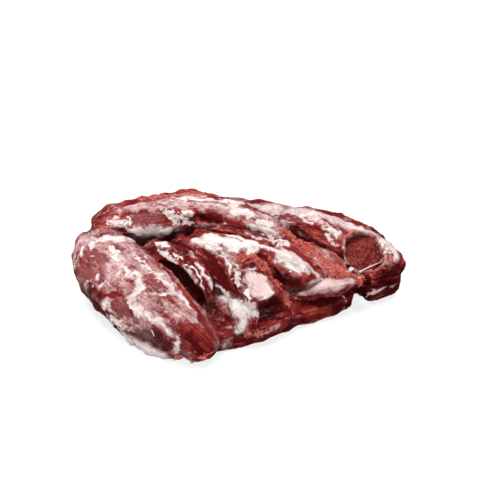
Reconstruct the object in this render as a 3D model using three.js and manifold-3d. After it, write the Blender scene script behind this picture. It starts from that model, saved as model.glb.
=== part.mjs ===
// A boneless pork neck, raw, lying with the side the bones were cut from facing up and towards the front.
// Its long muscles fan out from the back left corner over a broad flat underside, with deep gaps between
// them. One muscle is cut across near the right end, and the front edge shows ragged layers of lean and fat.
// Millimetres, +X along the neck, +Y away from the front edge, +Z up, resting on z = 0.

import * as THREE from "three";
import { mergeVertices } from "three/addons/utils/BufferGeometryUtils.js";
import Module from "manifold-3d";

const wasm = await Module();
wasm.setup();

// Each muscle is a profile carried along a curved path. wide and deep are half sizes, across and up.
// ends says how blunt the start and the end are: 2 is egg-shaped and 8 is nearly a flat cut.
// square is the profile's exponent: 2 is an ellipse, 4 nearly a rectangle.
const muscles = {
  underside: {
    path: [[-112, -4, 5], [-40, -2, 6], [30, -5, 6], [108, -24, 5]],
    wide: [68, 81, 76, 53],
    deep: [24, 32, 30, 22],
    ends: [4, 4],
    square: 2.5,
    rings: 16,
    sides: 24,
  },
  endLobe: {
    path: [[-103, 90, 38], [-110, 50, 36], [-108, 5, 33], [-99, -38, 28], [-78, -88, 9]],
    wide: [27, 31, 32, 31, 23],
    deep: [27, 31, 33, 31, 18],
    ends: [3, 3],
    square: 2.2,
    rings: 23,
    sides: 27,
  },
  endSkirt: {
    path: [[-107, 44, 6], [-112, 5, 6], [-108, -34, 6], [-95, -72, 5]],
    wide: [14, 16, 17, 15],
    deep: [13, 14, 13, 11],
    ends: [2.5, 2.5],
    square: 2.6,
    rings: 14,
    sides: 14,
  },
  tongue: {
    path: [[-84, 34, 50], [-71, 6, 54], [-63, -24, 49], [-63, -56, 37]],
    wide: [9, 13, 12, 8],
    deep: [10, 12, 12, 9],
    ends: [2.4, 3],
    square: 2.2,
    rings: 18,
    sides: 16,
  },
  wedge: {
    path: [[-54, 28, 52], [-42, -4, 49], [-36, -36, 42], [-28, -74, 28]],
    wide: [10, 14, 14, 9],
    deep: [14, 17, 17, 11],
    ends: [2.4, 2.6],
    square: 2.2,
    rings: 16,
    sides: 16,
  },
  midLobe: {
    path: [[-44, 20, 56], [-26, -6, 55], [-6, -30, 51], [16, -50, 45], [33, -72, 33]],
    wide: [10, 21, 24, 20, 13],
    deep: [14, 18, 19, 17, 13],
    ends: [2.4, 3.4],
    square: 2.3,
    rings: 24,
    sides: 24,
  },
  facet: {
    path: [[-14, -34, 38], [-17, -54, 35], [-20, -78, 31]],
    wide: [16, 18, 17],
    deep: [14, 15, 13],
    ends: [3, 8],
    square: 3,
    rings: 13,
    sides: 18,
  },
  fatApron: {
    path: [[-36, -52, 35], [-38, -70, 26], [-43, -84, 10]],
    wide: [9, 12, 8],
    deep: [7, 8, 6],
    ends: [2.4, 2.6],
    square: 2.2,
    rings: 12,
    sides: 12,
  },
  strap: {
    path: [[-109, 79, 61], [-84, 68, 62], [-57, 56, 62], [-30, 45, 62], [-6, 30, 61], [16, 10, 58],
      [33, -12, 53], [43, -34, 48]],
    wide: [16, 19, 20, 20, 19, 17, 13, 8],
    deep: [17, 19, 21, 21, 19, 16, 12, 8],
    ends: [3.4, 2.2],
    square: 2.2,
    rings: 31,
    sides: 20,
  },
  fringe: {
    path: [[34, -24, 50], [46, -44, 45], [56, -62, 37], [66, -80, 26]],
    wide: [9, 12, 15, 10],
    deep: [8, 9, 9, 7],
    ends: [2.4, 2.4],
    square: 2.2,
    rings: 18,
    sides: 16,
  },
  backSliver: {
    path: [[-76, 80, 60], [-46, 74, 66], [-16, 66, 68], [10, 48, 64]],
    wide: [8, 9, 9, 8],
    deep: [7, 8, 8, 7],
    ends: [2.4, 3.4],
    square: 2.2,
    rings: 16,
    sides: 10,
  },
  backRidge: {
    path: [[-98, 66, 36], [-40, 60, 36], [10, 42, 34], [60, 20, 30], [112, -4, 20]],
    wide: [24, 34, 34, 30, 20],
    deep: [32, 35, 33, 27, 18],
    ends: [2.8, 3],
    square: 2.3,
    rings: 20,
    sides: 24,
  },
  rightMuscle: {
    path: [[40, 22, 42], [62, 4, 41], [86, -20, 38], [107, -56, 31]],
    wide: [18, 26, 27, 24],
    deep: [16, 20, 20, 19],
    ends: [2.4, 6],
    square: 2.4,
    rings: 22,
    sides: 22,
  },
  rightEnd: {
    path: [[107, 2, 25], [115, -32, 28], [108, -82, 26]],
    wide: [15, 16, 20],
    deep: [16, 17, 12],
    ends: [3, 6],
    square: 3,
    rings: 15,
    sides: 18,
  },
  rightFoot: {
    path: [[102, -10, 5], [104, -40, 5], [104, -82, 5]],
    wide: [18, 18, 18],
    deep: [13, 13, 12],
    ends: [3, 6],
    square: 3,
    rings: 12,
    sides: 14,
  },
  endWall: {
    path: [[100, -34, 18], [103, -60, 18], [104, -85, 18]],
    wide: [15, 18, 19],
    deep: [13, 16, 16],
    ends: [3, 9],
    square: 4,
    rings: 12,
    sides: 18,
  },
  knob: {
    path: [[66, -70, 29], [72, -77, 28], [77, -83, 27]],
    wide: [5, 5, 5],
    deep: [5, 5, 5],
    ends: [2.4, 5],
    square: 2,
    rings: 6,
    sides: 10,
  },
  frontBar: {
    path: [[8, -66, 21], [38, -74, 26], [70, -82, 28]],
    wide: [6, 8, 7],
    deep: [6, 9, 7],
    ends: [2.4, 2.4],
    square: 2.2,
    rings: 14,
    sides: 12,
  },
  frontSlab: {
    path: [[-10, -62, 6], [30, -65, 7], [74, -65, 7]],
    wide: [17, 18, 17],
    deep: [12, 14, 13],
    ends: [3, 4],
    square: 3,
    rings: 16,
    sides: 16,
  },
  frontLayers: {
    path: [[-62, -70, 5], [-26, -75, 10], [4, -75, 15]],
    wide: [12, 13, 11],
    deep: [10, 10, 9],
    ends: [2.4, 3],
    square: 2.6,
    rings: 12,
    sides: 14,
  },
};

// Clefts between the muscles, cut with thin blades of the same make.
const clefts = {
  underTongue: {
    path: [[-84, 12, 52], [-77, -14, 45], [-73, -38, 39], [-67, -60, 28]],
    wide: [4, 7, 8, 5],
    deep: [10, 15, 16, 12],
    ends: [2, 2],
    square: 2,
    rings: 14,
    sides: 12,
  },
  underStrap: {
    path: [[-36, 26, 62], [-14, 8, 62], [6, -10, 60], [24, -32, 56], [36, -52, 48]],
    wide: [2, 3, 3.5, 3, 2.5],
    deep: [8, 12, 13, 12, 9],
    ends: [2, 2],
    square: 2,
    rings: 16,
    sides: 8,
  },
  besideFringe: {
    path: [[46, -2, 58], [52, -20, 50], [62, -38, 42], [76, -54, 34]],
    wide: [2, 3.5, 4, 3],
    deep: [8, 13, 13, 8],
    ends: [2, 2],
    square: 2,
    rings: 14,
    sides: 8,
  },
};

// Ragged shreds in a row along the torn lower edge of the fringe: each starts on the row and hangs by its
// reach, longer and shorter in turn, arched a little in the middle.
const shreds = {
  count: 6,
  from: [36, -57, 47],
  to: [63, -74, 38],
  reach: [-4, -14, -9],
  reachShare: 0.8,
  reachSwing: 0.3,
  swingApart: 2.4,
  arch: 1.5,
  wide: [2.6, 3.6, 1.8],
  deep: [2.6, 2.8, 1.6],
  ends: [2, 2],
  square: 2,
  rings: 7,
  sides: 8,
};

// Flakes of fat that stand on the surface: the middle, the half length as a direction, and the half sizes.
const flakeMake = { ends: [2.4, 2.4], square: 2.4, rings: 7, sides: 10 };
const flakes = {
  strapChip: { at: [-37, 30, 76], half: [6, -3, -1], wide: 4.5, deep: 2.4 },
  facetFlake: { at: [-33, -69, 42], half: [2, -4, -4], wide: 3.6, deep: 2.4 },
  cutFlake: { at: [78, -66, 31], half: [6, 1, 2], wide: 3, deep: 2.4 },
  apronFlake: { at: [-40, -78, 24], half: [1, -3, -6], wide: 4, deep: 2.6 },
};

// How uneven the muscles are: lumps of two sizes, and strands that run along them and weave.
// No point moves by more than mostShare of its distance from the muscle's middle.
const unevenness = {
  bigTall: 1.3,
  bigApart: 26,
  smallTall: 0.6,
  smallApart: 14,
  strandTall: 0.7,
  sidesPerStrand: 3.4,
  weaveTurn: 2,
  weaveOften: 5,
  mostShare: 0.25,
};

// The lumps' waves: how often they come along X, Y and Z, and how far Y bends X and Z bends Y.
const waveMake = { oftenX: 1, oftenY: 0.9, oftenZ: 0.8, bendX: 2, bendY: 1.5 };

// The cross cut near the right end: an oval that faces up and towards the front.
const crossCut = {
  at: [97, -54, 38],
  facing: [-0.22, -0.6, 0.77],
  halfWide: 17,
  halfLong: 21,
  above: 40,
  sides: 28,
};

// What is cut away below the flat underside.
const belowGround = { wide: 600, tall: 60 };

const up = new THREE.Vector3(0, 0, 1);

// How far out the profile reaches at a share of the way along: 0 at both tips, 1 in the middle.
function endRounding(share, ends) {
  const fromMiddle = Math.abs(2 * share - 1);
  const blunt = share < 0.5 ? ends[0] : ends[1];
  return (1 - fromMiddle ** blunt) ** (1 / blunt);
}

// One side of a superellipse: the cosine or sine of an angle, pushed out towards the corners.
function squared(value, square) {
  return Math.sign(value) * Math.abs(value) ** (2 / square);
}

// Waves of one size in all three directions, each bent by the next, between -1 and 1.
function waves(place, apart) {
  const { oftenX, oftenY, oftenZ, bendX, bendY } = waveMake;
  const turn = (2 * Math.PI) / apart;
  const x = turn * oftenX * place.x;
  const y = turn * oftenY * place.y;
  const z = turn * oftenZ * place.z;
  return Math.sin(x + bendX * Math.sin(y)) * Math.cos(y + bendY * Math.sin(z));
}

function lumpAt(place) {
  const { bigTall, bigApart, smallTall, smallApart } = unevenness;
  return bigTall * waves(place, bigApart) + smallTall * waves(place, smallApart);
}

// The closed surface of one muscle: rings of points across the path, with a point at each tip.
function muscleGeometry({ path, wide, deep, ends, square, rings, sides }) {
  const middle = new THREE.CatmullRomCurve3(path.map((p) => new THREE.Vector3(...p)), false, "catmullrom");
  const sizes = new THREE.CatmullRomCurve3(
    wide.map((w, i) => new THREE.Vector3(w, deep[i], 0)), false, "catmullrom");
  const { strandTall, sidesPerStrand, weaveTurn, weaveOften, mostShare } = unevenness;
  const strands = Math.round(sides / sidesPerStrand);
  const points = [];
  for (let i = 0; i <= rings; i++) {
    const share = (1 - Math.cos((Math.PI * i) / rings)) / 2;
    const at = middle.getPoint(share);
    const along = middle.getTangent(share);
    const across = new THREE.Vector3().crossVectors(along, up).normalize();
    const above = new THREE.Vector3().crossVectors(across, along).normalize();
    const size = sizes.getPoint(share).multiplyScalar(endRounding(share, ends));
    const weave = weaveTurn * Math.sin(weaveOften * share + strands);
    const tip = i === 0 || i === rings;
    for (let j = 0; j < (tip ? 1 : sides); j++) {
      const angle = (2 * Math.PI * j) / sides;
      const out = new THREE.Vector3()
        .addScaledVector(across, tip ? 0 : size.x * squared(Math.cos(angle), square))
        .addScaledVector(above, tip ? 0 : size.y * squared(Math.sin(angle), square));
      const place = at.clone().add(out);
      const strand = strandTall * Math.sin(strands * angle + weave);
      const uneven = Math.min(lumpAt(place) + strand, out.length() * mostShare);
      points.push(place.addScaledVector(out.normalize(), uneven));
    }
  }
  const index = [];
  const ring = (i, j) => 1 + (i - 1) * sides + (j % sides);
  const last = points.length - 1;
  for (let j = 0; j < sides; j++) {
    index.push(0, ring(1, j), ring(1, j + 1));
    index.push(last, ring(rings - 1, j + 1), ring(rings - 1, j));
    for (let i = 1; i < rings - 1; i++) {
      index.push(ring(i, j), ring(i + 1, j), ring(i + 1, j + 1));
      index.push(ring(i, j), ring(i + 1, j + 1), ring(i, j + 1));
    }
  }
  return new THREE.BufferGeometry().setFromPoints(points).setIndex(index);
}

// A closed geometry as a solid that can be joined and cut.
function solidOf(geometry) {
  geometry.deleteAttribute("normal");
  geometry.deleteAttribute("uv");
  const merged = mergeVertices(geometry);
  return new wasm.Manifold(new wasm.Mesh({
    numProp: 3,
    vertProperties: merged.attributes.position.array,
    triVerts: new Uint32Array(merged.index.array),
  }));
}

// An oval post standing on the cut's plane: it takes away what lay above the cut.
function crossCutter({ at, facing, halfWide, halfLong, above, sides }) {
  const post = new THREE.CylinderGeometry(1, 1, above, sides).translate(0, above / 2, 0);
  post.scale(halfWide, 1, halfLong);
  const normal = new THREE.Vector3(...facing).normalize();
  const sideways = new THREE.Vector3().crossVectors(up, normal).normalize();
  const uphill = new THREE.Vector3().crossVectors(sideways, normal);
  post.applyMatrix4(new THREE.Matrix4().makeBasis(sideways, normal, uphill));
  return solidOf(post.translate(...at));
}

const solids = {};
for (const [name, spec] of Object.entries(muscles)) {
  solids[name] = solidOf(muscleGeometry(spec));
}
for (let i = 0; i < shreds.count; i++) {
  const share = i / (shreds.count - 1);
  const start = new THREE.Vector3(...shreds.from).lerp(new THREE.Vector3(...shreds.to), share);
  const long = shreds.reachShare + shreds.reachSwing * Math.sin(shreds.swingApart * i);
  const end = start.clone().addScaledVector(new THREE.Vector3(...shreds.reach), long);
  const middle = start.clone().lerp(end, 0.5).addScaledVector(up, shreds.arch);
  const path = [start, middle, end].map((place) => place.toArray());
  solids[`shred${i}`] = solidOf(muscleGeometry({ ...shreds, path }));
}
for (const [name, { at, half, wide, deep }] of Object.entries(flakes)) {
  const path = [-1, 0, 1].map((side) => at.map((value, k) => value + side * half[k]));
  solids[name] = solidOf(muscleGeometry({
    ...flakeMake,
    path,
    wide: path.map(() => wide),
    deep: path.map(() => deep),
  }));
}

let whole = null;
for (const solid of Object.values(solids)) whole = whole ? whole.add(solid) : solid;
for (const spec of Object.values(clefts)) whole = whole.subtract(solidOf(muscleGeometry(spec)));
whole = whole.subtract(crossCutter(crossCut));

// Slivers left standing beyond the cut are dropped.
whole = whole.decompose().sort((a, b) => b.volume() - a.volume())[0];

// What would lie below z = 0 is cut away, which leaves the flat underside.
const { wide: blockWide, tall: blockTall } = belowGround;
const block = new THREE.BoxGeometry(blockWide, blockWide, blockTall).translate(0, 0, -blockTall / 2);
whole = whole.subtract(solidOf(block));

const cut = whole.getMesh();
const geometry = new THREE.BufferGeometry()
  .setAttribute("position", new THREE.BufferAttribute(cut.vertProperties, 3))
  .setIndex(new THREE.BufferAttribute(cut.triVerts, 1));
geometry.computeVertexNormals();

const meat = new THREE.MeshStandardMaterial({ color: 0x8c3a36, roughness: 0.45, metalness: 0 });
const neck = new THREE.Mesh(geometry, meat);
neck.name = "pork_neck";

// The origin is under the middle of the box round the whole.
const { min, max } = whole.boundingBox();
neck.position.set(-(min[0] + max[0]) / 2, -(min[1] + max[1]) / 2, 0);
const group = new THREE.Group();
group.add(neck);

export default group;
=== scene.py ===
# A raw boneless pork neck: one skin over long muscles that fan out from the back left corner.
# Places and sizes are millimetres here, as in the part's own source, and metres in the meshes.
import math
import time

import bpy
import numpy as np
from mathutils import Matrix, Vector


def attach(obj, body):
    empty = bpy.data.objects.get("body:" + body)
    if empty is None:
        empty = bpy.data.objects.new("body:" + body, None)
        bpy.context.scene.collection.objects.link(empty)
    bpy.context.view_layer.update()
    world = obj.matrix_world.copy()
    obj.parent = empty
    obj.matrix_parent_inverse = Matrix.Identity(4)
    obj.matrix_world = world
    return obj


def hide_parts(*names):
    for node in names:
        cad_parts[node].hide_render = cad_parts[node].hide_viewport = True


startTime = time.time()
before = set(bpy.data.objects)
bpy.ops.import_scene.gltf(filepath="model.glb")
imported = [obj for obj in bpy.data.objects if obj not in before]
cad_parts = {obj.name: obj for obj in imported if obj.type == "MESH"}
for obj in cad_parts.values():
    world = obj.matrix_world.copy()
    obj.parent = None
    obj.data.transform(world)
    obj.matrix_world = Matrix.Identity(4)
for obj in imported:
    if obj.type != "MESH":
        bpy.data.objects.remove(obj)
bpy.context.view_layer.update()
millimetre = 0.001


def say(text):
    print(f"[{time.time() - startTime:5.1f} s] {text}")


# Each muscle is a superellipse profile carried along a curved path. wide and deep are half sizes across and
# up, ends says how blunt the start and the end are, square is the profile's exponent, and strands is the
# number of ridges round it.
muscles = {
    "underside": dict(path=[[-112, -4, 5], [-40, -2, 6], [30, -5, 6], [108, -24, 5]],
                      wide=[68, 81, 76, 53], deep=[24, 32, 30, 22], ends=[4, 4], square=2.5, strands=7),
    "endLobe": dict(path=[[-103, 90, 38], [-110, 50, 36], [-108, 5, 33], [-99, -38, 28], [-78, -88, 9]],
                    wide=[27, 31, 32, 31, 23], deep=[27, 31, 33, 31, 18], ends=[3, 3], square=2.2,
                    strands=8),
    "endSkirt": dict(path=[[-107, 44, 6], [-112, 5, 6], [-108, -34, 6], [-95, -72, 5]],
                     wide=[14, 16, 17, 15], deep=[13, 14, 13, 11], ends=[2.5, 2.5], square=2.6, strands=4),
    "tongue": dict(path=[[-84, 34, 50], [-71, 6, 54], [-63, -24, 49], [-63, -56, 37]],
                   wide=[9, 13, 12, 8], deep=[10, 12, 12, 9], ends=[2.4, 3], square=2.2, strands=5),
    "wedge": dict(path=[[-54, 28, 52], [-42, -4, 49], [-36, -36, 42], [-28, -74, 28]],
                  wide=[10, 14, 14, 9], deep=[14, 17, 17, 11], ends=[2.4, 2.6], square=2.2, strands=5),
    "midLobe": dict(path=[[-44, 20, 56], [-26, -6, 55], [-6, -30, 51], [16, -50, 45], [33, -72, 33]],
                    wide=[10, 21, 24, 20, 13], deep=[14, 18, 19, 17, 13], ends=[2.4, 3.4], square=2.3,
                    strands=7),
    "facet": dict(path=[[-14, -34, 38], [-17, -54, 35], [-20, -78, 31]],
                  wide=[16, 18, 17], deep=[14, 15, 13], ends=[3, 8], square=3, strands=5),
    "fatApron": dict(path=[[-36, -52, 35], [-38, -70, 26], [-43, -84, 10]],
                     wide=[9, 12, 8], deep=[7, 8, 6], ends=[2.4, 2.6], square=2.2, strands=4),
    "strap": dict(path=[[-109, 79, 61], [-84, 68, 62], [-57, 56, 62], [-30, 45, 62], [-6, 30, 61],
                        [16, 10, 58], [33, -12, 53], [43, -34, 48]],
                  wide=[16, 19, 20, 20, 19, 17, 13, 8], deep=[17, 19, 21, 21, 19, 16, 12, 8],
                  ends=[3.4, 2.2], square=2.2, strands=6),
    "fringe": dict(path=[[34, -24, 50], [46, -44, 45], [56, -62, 37], [66, -80, 26]],
                   wide=[9, 12, 15, 10], deep=[8, 9, 9, 7], ends=[2.4, 2.4], square=2.2, strands=5),
    "backSliver": dict(path=[[-76, 80, 60], [-46, 74, 66], [-16, 66, 68], [10, 48, 64]],
                       wide=[8, 9, 9, 8], deep=[7, 8, 8, 7], ends=[2.4, 3.4], square=2.2, strands=3),
    "backRidge": dict(path=[[-98, 66, 36], [-40, 60, 36], [10, 42, 34], [60, 20, 30], [112, -4, 20]],
                      wide=[24, 34, 34, 30, 20], deep=[32, 35, 33, 27, 18], ends=[2.8, 3], square=2.3,
                      strands=7),
    "rightMuscle": dict(path=[[40, 22, 42], [62, 4, 41], [86, -20, 38], [107, -56, 31]],
                        wide=[18, 26, 27, 24], deep=[16, 20, 20, 19], ends=[2.4, 6], square=2.4, strands=6),
    "rightEnd": dict(path=[[107, 2, 25], [115, -32, 28], [108, -82, 26]],
                     wide=[15, 16, 20], deep=[16, 17, 12], ends=[3, 6], square=3, strands=5),
    "rightFoot": dict(path=[[102, -10, 5], [104, -40, 5], [104, -82, 5]],
                      wide=[18, 18, 18], deep=[13, 13, 12], ends=[3, 6], square=3, strands=4),
    "endWall": dict(path=[[100, -34, 18], [103, -60, 18], [104, -85, 18]],
                    wide=[15, 18, 19], deep=[13, 16, 16], ends=[3, 9], square=4, strands=5),
    "knob": dict(path=[[66, -70, 29], [72, -77, 28], [77, -83, 27]],
                 wide=[5, 5, 5], deep=[5, 5, 5], ends=[2.4, 5], square=2, strands=3),
    "frontBar": dict(path=[[8, -66, 21], [38, -74, 26], [70, -82, 28]],
                     wide=[6, 8, 7], deep=[6, 9, 7], ends=[2.4, 2.4], square=2.2, strands=4),
    "frontSlab": dict(path=[[-10, -62, 6], [30, -65, 7], [74, -65, 7]],
                      wide=[17, 18, 17], deep=[12, 14, 13], ends=[3, 4], square=3, strands=5),
    "frontLayers": dict(path=[[-62, -70, 5], [-26, -75, 10], [4, -75, 15]],
                        wide=[12, 13, 11], deep=[10, 10, 9], ends=[2.4, 3], square=2.6, strands=4),
}
boxMiddle = np.array([-5.35, 0.65, 0.0])  # the middle of the muscles' box, which is the origin of the frame
clefts = {
    "underTongue": dict(path=[[-84, 12, 52], [-77, -14, 45], [-73, -38, 39], [-67, -60, 28]],
                        wide=[4, 7, 8, 5], deep=[10, 15, 16, 12], ends=[2, 2], square=2, strands=4),
    "underStrap": dict(path=[[-36, 26, 62], [-14, 8, 62], [6, -10, 60], [24, -32, 56], [36, -52, 48]],
                       wide=[2, 3, 3.5, 3, 2.5], deep=[8, 12, 13, 12, 9], ends=[2, 2], square=2, strands=2),
    "besideFringe": dict(path=[[46, -2, 58], [52, -20, 50], [62, -38, 42], [76, -54, 34]],
                         wide=[2, 3.5, 4, 3], deep=[8, 13, 13, 8], ends=[2, 2], square=2, strands=2),
}

# Clefts are cut out like muscles. Shreds hang in a row along the torn fringe, and flakes of fat stand out.
shreds = dict(count=6, first=[36, -57, 47], last=[63, -74, 38], reach=[-4, -14, -9], share=0.8, swing=0.3,
              apart=2.4, arch=1.5,
              make=dict(wide=[2.6, 3.6, 1.8], deep=[2.6, 2.8, 1.6], ends=[2, 2], square=2, strands=2))
flakes = {
    "strapChip": dict(at=[-37, 30, 76], half=[6, -3, -1], wide=4.5, deep=2.4),
    "facetFlake": dict(at=[-33, -69, 42], half=[2, -4, -4], wide=3.6, deep=2.4),
    "cutFlake": dict(at=[78, -66, 31], half=[6, 1, 2], wide=3, deep=2.4),
    "apronFlake": dict(at=[-40, -78, 24], half=[1, -3, -6], wide=4, deep=2.6),
}
flakeMake = dict(ends=[2.4, 2.4], square=2.4, strands=3)
unevenness = dict(bigTall=1.3, bigApart=26, smallTall=0.6, smallApart=14, strandTall=0.7, mostShare=0.25,
                  weaveTurn=2, weaveOften=5)
waveMake = dict(oftenX=1, oftenY=0.9, oftenZ=0.8, bendX=2, bendY=1.5)


def curveAt(points, share):
    # Catmull-Rom: a cubic between each two points, with the curve carried on past its ends by mirroring.
    points = np.asarray(points, float)
    run = np.vstack([2 * points[0] - points[1], points, 2 * points[-1] - points[-2]])
    along = np.clip(share, 0, 1) * (len(points) - 1)
    i = np.minimum(along.astype(int), len(points) - 2)
    t = (along - i)[:, None]
    a, b, c, d = run[i], run[i + 1], run[i + 2], run[i + 3]
    place = 0.5 * (2 * b + (c - a) * t + (2 * a - 5 * b + 4 * c - d) * t**2
                   + (3 * b - a - 3 * c + d) * t**3)
    slope = 0.5 * ((c - a) + 2 * (2 * a - 5 * b + 4 * c - d) * t + 3 * (3 * b - a - 3 * c + d) * t**2)
    return place, slope * (len(points) - 1)


def unit(vectors):
    return vectors / np.maximum(np.linalg.norm(vectors, axis=-1, keepdims=True), 1e-9)


def muscleFrame(muscle, share):
    # The path's place, its three directions and the half sizes at each share of the way along.
    place, slope = curveAt(muscle["path"], share)
    along = unit(slope)
    across = unit(np.cross(along, [0.0, 0.0, 1.0]))
    above = np.cross(across, along)
    sizes = curveAt(np.column_stack([muscle["wide"], muscle["deep"]]), share)[0]
    return place, along, across, above, sizes, np.linalg.norm(slope, axis=1)


def bluntness(muscle, share):
    return np.where(share < 0.5, muscle["ends"][0], muscle["ends"][1])


def closedFaces(rings, sides):
    # The faces of a form with a point at each tip and rings of points between: quads, and tip triangles.
    ring = 1 + np.arange((rings - 1) * sides).reshape(rings - 1, sides)
    nextSide = np.roll(ring, -1, axis=1)
    quads = np.stack([ring[:-1], ring[1:], nextSide[1:], nextSide[:-1]], axis=-1).reshape(-1, 4)
    start = np.stack([np.zeros(sides, int), ring[0], nextSide[0]], axis=-1)
    end = np.stack([np.full(sides, 1 + ring.size), nextSide[-1], ring[-1]], axis=-1)
    return quads, np.vstack([start, end])


def waves(places, apart):
    # sin(x + 2 sin y) * cos(y + 1.5 sin z), each turning once in its own distance.
    x, y, z = (2 * np.pi / apart * waveMake[often] * places[..., k]
               for k, often in enumerate(("oftenX", "oftenY", "oftenZ")))
    return np.sin(x + waveMake["bendX"] * np.sin(y)) * np.cos(y + waveMake["bendY"] * np.sin(z))


def muscleSurface(muscle, rings, sides):
    # Place + across * wide * cos^(2/q) + above * deep * sin^(2/q), times the end rounding
    # (1 - |2s - 1|^b)^(1/b), and then out by the waves and by strands that weave as they run along.
    share = (1 - np.cos(np.pi * np.arange(rings + 1) / rings)) / 2
    place, along, across, above, sizes, _ = muscleFrame(muscle, share)
    blunt = bluntness(muscle, share)
    sizes = sizes * ((1 - np.abs(2 * share - 1) ** blunt) ** (1 / blunt))[:, None]
    angle = 2 * np.pi * np.arange(sides) / sides
    power = 2 / muscle["square"]
    sideways = np.sign(np.cos(angle)) * np.abs(np.cos(angle)) ** power
    upwards = np.sign(np.sin(angle)) * np.abs(np.sin(angle)) ** power
    out = (across[1:-1, None] * (sizes[1:-1, None, :1] * sideways[None, :, None])
           + above[1:-1, None] * (sizes[1:-1, None, 1:] * upwards[None, :, None]))
    grid = place[1:-1, None] + out
    weave = unevenness["weaveTurn"] * np.sin(
        unevenness["weaveOften"] * share[1:-1, None] + muscle["strands"])
    uneven = unevenness["strandTall"] * np.sin(muscle["strands"] * angle[None] + weave)
    uneven += unevenness["bigTall"] * waves(grid, unevenness["bigApart"])
    uneven += unevenness["smallTall"] * waves(grid, unevenness["smallApart"])
    uneven = np.minimum(uneven, unevenness["mostShare"] * np.linalg.norm(out, axis=-1))
    grid = grid + unit(out) * uneven[..., None]
    verts = np.vstack([place[:1], grid.reshape(-1, 3), place[-1:]])
    return verts, *closedFaces(rings, sides)


def meshFrom(name, verts, *faceSets):
    # One mesh from a vertex array in millimetres and arrays of faces.
    mesh = bpy.data.meshes.new(name)
    corners = np.concatenate([faces.reshape(-1) for faces in faceSets])
    counts = np.concatenate([np.full(len(faces), faces.shape[1]) for faces in faceSets])
    mesh.vertices.add(len(verts))
    mesh.vertices.foreach_set("co", (verts * millimetre).astype(np.float32).ravel())
    mesh.loops.add(len(corners))
    mesh.loops.foreach_set("vertex_index", corners.astype(np.int32))
    mesh.polygons.add(len(counts))
    mesh.polygons.foreach_set("loop_start", (np.cumsum(counts) - counts).astype(np.int32))
    mesh.update(calc_edges=True)
    mesh.validate()
    piece = bpy.data.objects.new(name, mesh)
    bpy.context.scene.collection.objects.link(piece)
    return piece


def arrayOf(mesh, what, attribute, width):
    values = np.empty(len(getattr(mesh, what)) * width, np.float32)
    getattr(mesh, what).foreach_get(attribute, values)
    return values.reshape(-1, width).astype(float) if width > 1 else values.astype(float)


skin = dict(voxel=1.0, rings=90, sides=72, mostTriangles=196000)


def applyModifiers(piece):
    graph = bpy.context.evaluated_depsgraph_get()
    mesh = bpy.data.meshes.new_from_object(piece.evaluated_get(graph))
    old = piece.data
    piece.modifiers.clear()
    piece.data = mesh
    bpy.data.meshes.remove(old)


def smallForms():
    # The shreds and the flakes, made like muscles.
    row = np.linspace(0, 1, shreds["count"])[:, None]
    starts = np.array(shreds["first"]) * (1 - row) + np.array(shreds["last"]) * row
    long = shreds["share"] + shreds["swing"] * np.sin(shreds["apart"] * np.arange(shreds["count"]))[:, None]
    finish = starts + long * np.array(shreds["reach"])
    middles = (starts + finish) / 2 + [0, 0, shreds["arch"]]
    forms = [dict(shreds["make"], path=path) for path in np.stack([starts, middles, finish], axis=1)]
    for flake in flakes.values():
        path = np.array(flake["at"]) + np.array([[-1], [0], [1]]) * np.array(flake["half"])
        forms.append(dict(flakeMake, path=path, wide=[flake["wide"]] * 3, deep=[flake["deep"]] * 3))
    return forms


def remeshed(piece):
    remesh = piece.modifiers.new("oneSkin", "REMESH")
    remesh.mode = "VOXEL"
    remesh.voxel_size = skin["voxel"] * millimetre
    remesh.adaptivity = 0
    applyModifiers(piece)


def joinedMuscles():
    # All muscles in one mesh, cut flat at the underside, remeshed into one closed skin, with the clefts out.
    verts, quads, tips = [], [], []
    count = 0
    for muscle in list(muscles.values()) + smallForms():
        v, q, t = muscleSurface(muscle, skin["rings"], skin["sides"])
        v[:, 2] = np.maximum(v[:, 2], 0)
        verts.append(v - boxMiddle)
        quads.append(q + count)
        tips.append(t + count)
        count += len(v)
    piece = meshFrom("neckSkin", np.vstack(verts), np.vstack(quads), np.vstack(tips))
    remeshed(piece)
    for name, cleft in clefts.items():
        v, q, t = muscleSurface(cleft, skin["rings"], skin["sides"])
        blade = meshFrom(name, v - boxMiddle, q, t)
        cut = piece.modifiers.new(name, "BOOLEAN")
        cut.operation = "DIFFERENCE"
        cut.solver = "MANIFOLD"
        cut.object = blade
        applyModifiers(piece)
        bpy.data.objects.remove(blade)
    remeshed(piece)
    return piece


neck = joinedMuscles()
say(f"one skin with {len(neck.data.polygons)} faces, {len(neck.data.vertices)} points")


mixing = dict(x=73856093, y=19349663, z=83492791, seed=7919, start=101, first=1274126177, second=668265263,
              most=2**30 - 1)


def hashed(corner, seed):
    # A well mixed whole number for each lattice corner, from large primes and shifts.
    x, y, z = corner.T
    mixed = x * mixing["x"] ^ y * mixing["y"] ^ z * mixing["z"] ^ (seed * mixing["seed"] + mixing["start"])
    mixed = (mixed ^ (mixed >> 13)) * mixing["first"] & mixing["most"]
    return (mixed ^ (mixed >> 15)) * mixing["second"] & mixing["most"]


def noiseAt(points, size, seed=0):
    # Gradient noise of a given lump size: each lattice corner has a slope, blended by 6t^5 - 15t^4 + 10t^3.
    points = points / size
    cell = np.floor(points).astype(np.int64)
    t = points - cell
    blend = t**3 * (t * (t * 6 - 15) + 10)
    total = np.zeros(len(points))
    for corner in np.ndindex(2, 2, 2):
        corner = np.array(corner)
        mixed = hashed(cell + corner, seed)
        away = t - corner
        slope = sum(away[:, k] * ((mixed >> (10 * k) & 1023) / 511.5 - 1) for k in range(3))
        total += slope * np.prod(np.where(corner == 1, blend, 1 - blend), axis=1)
    return total * 1.5


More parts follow.
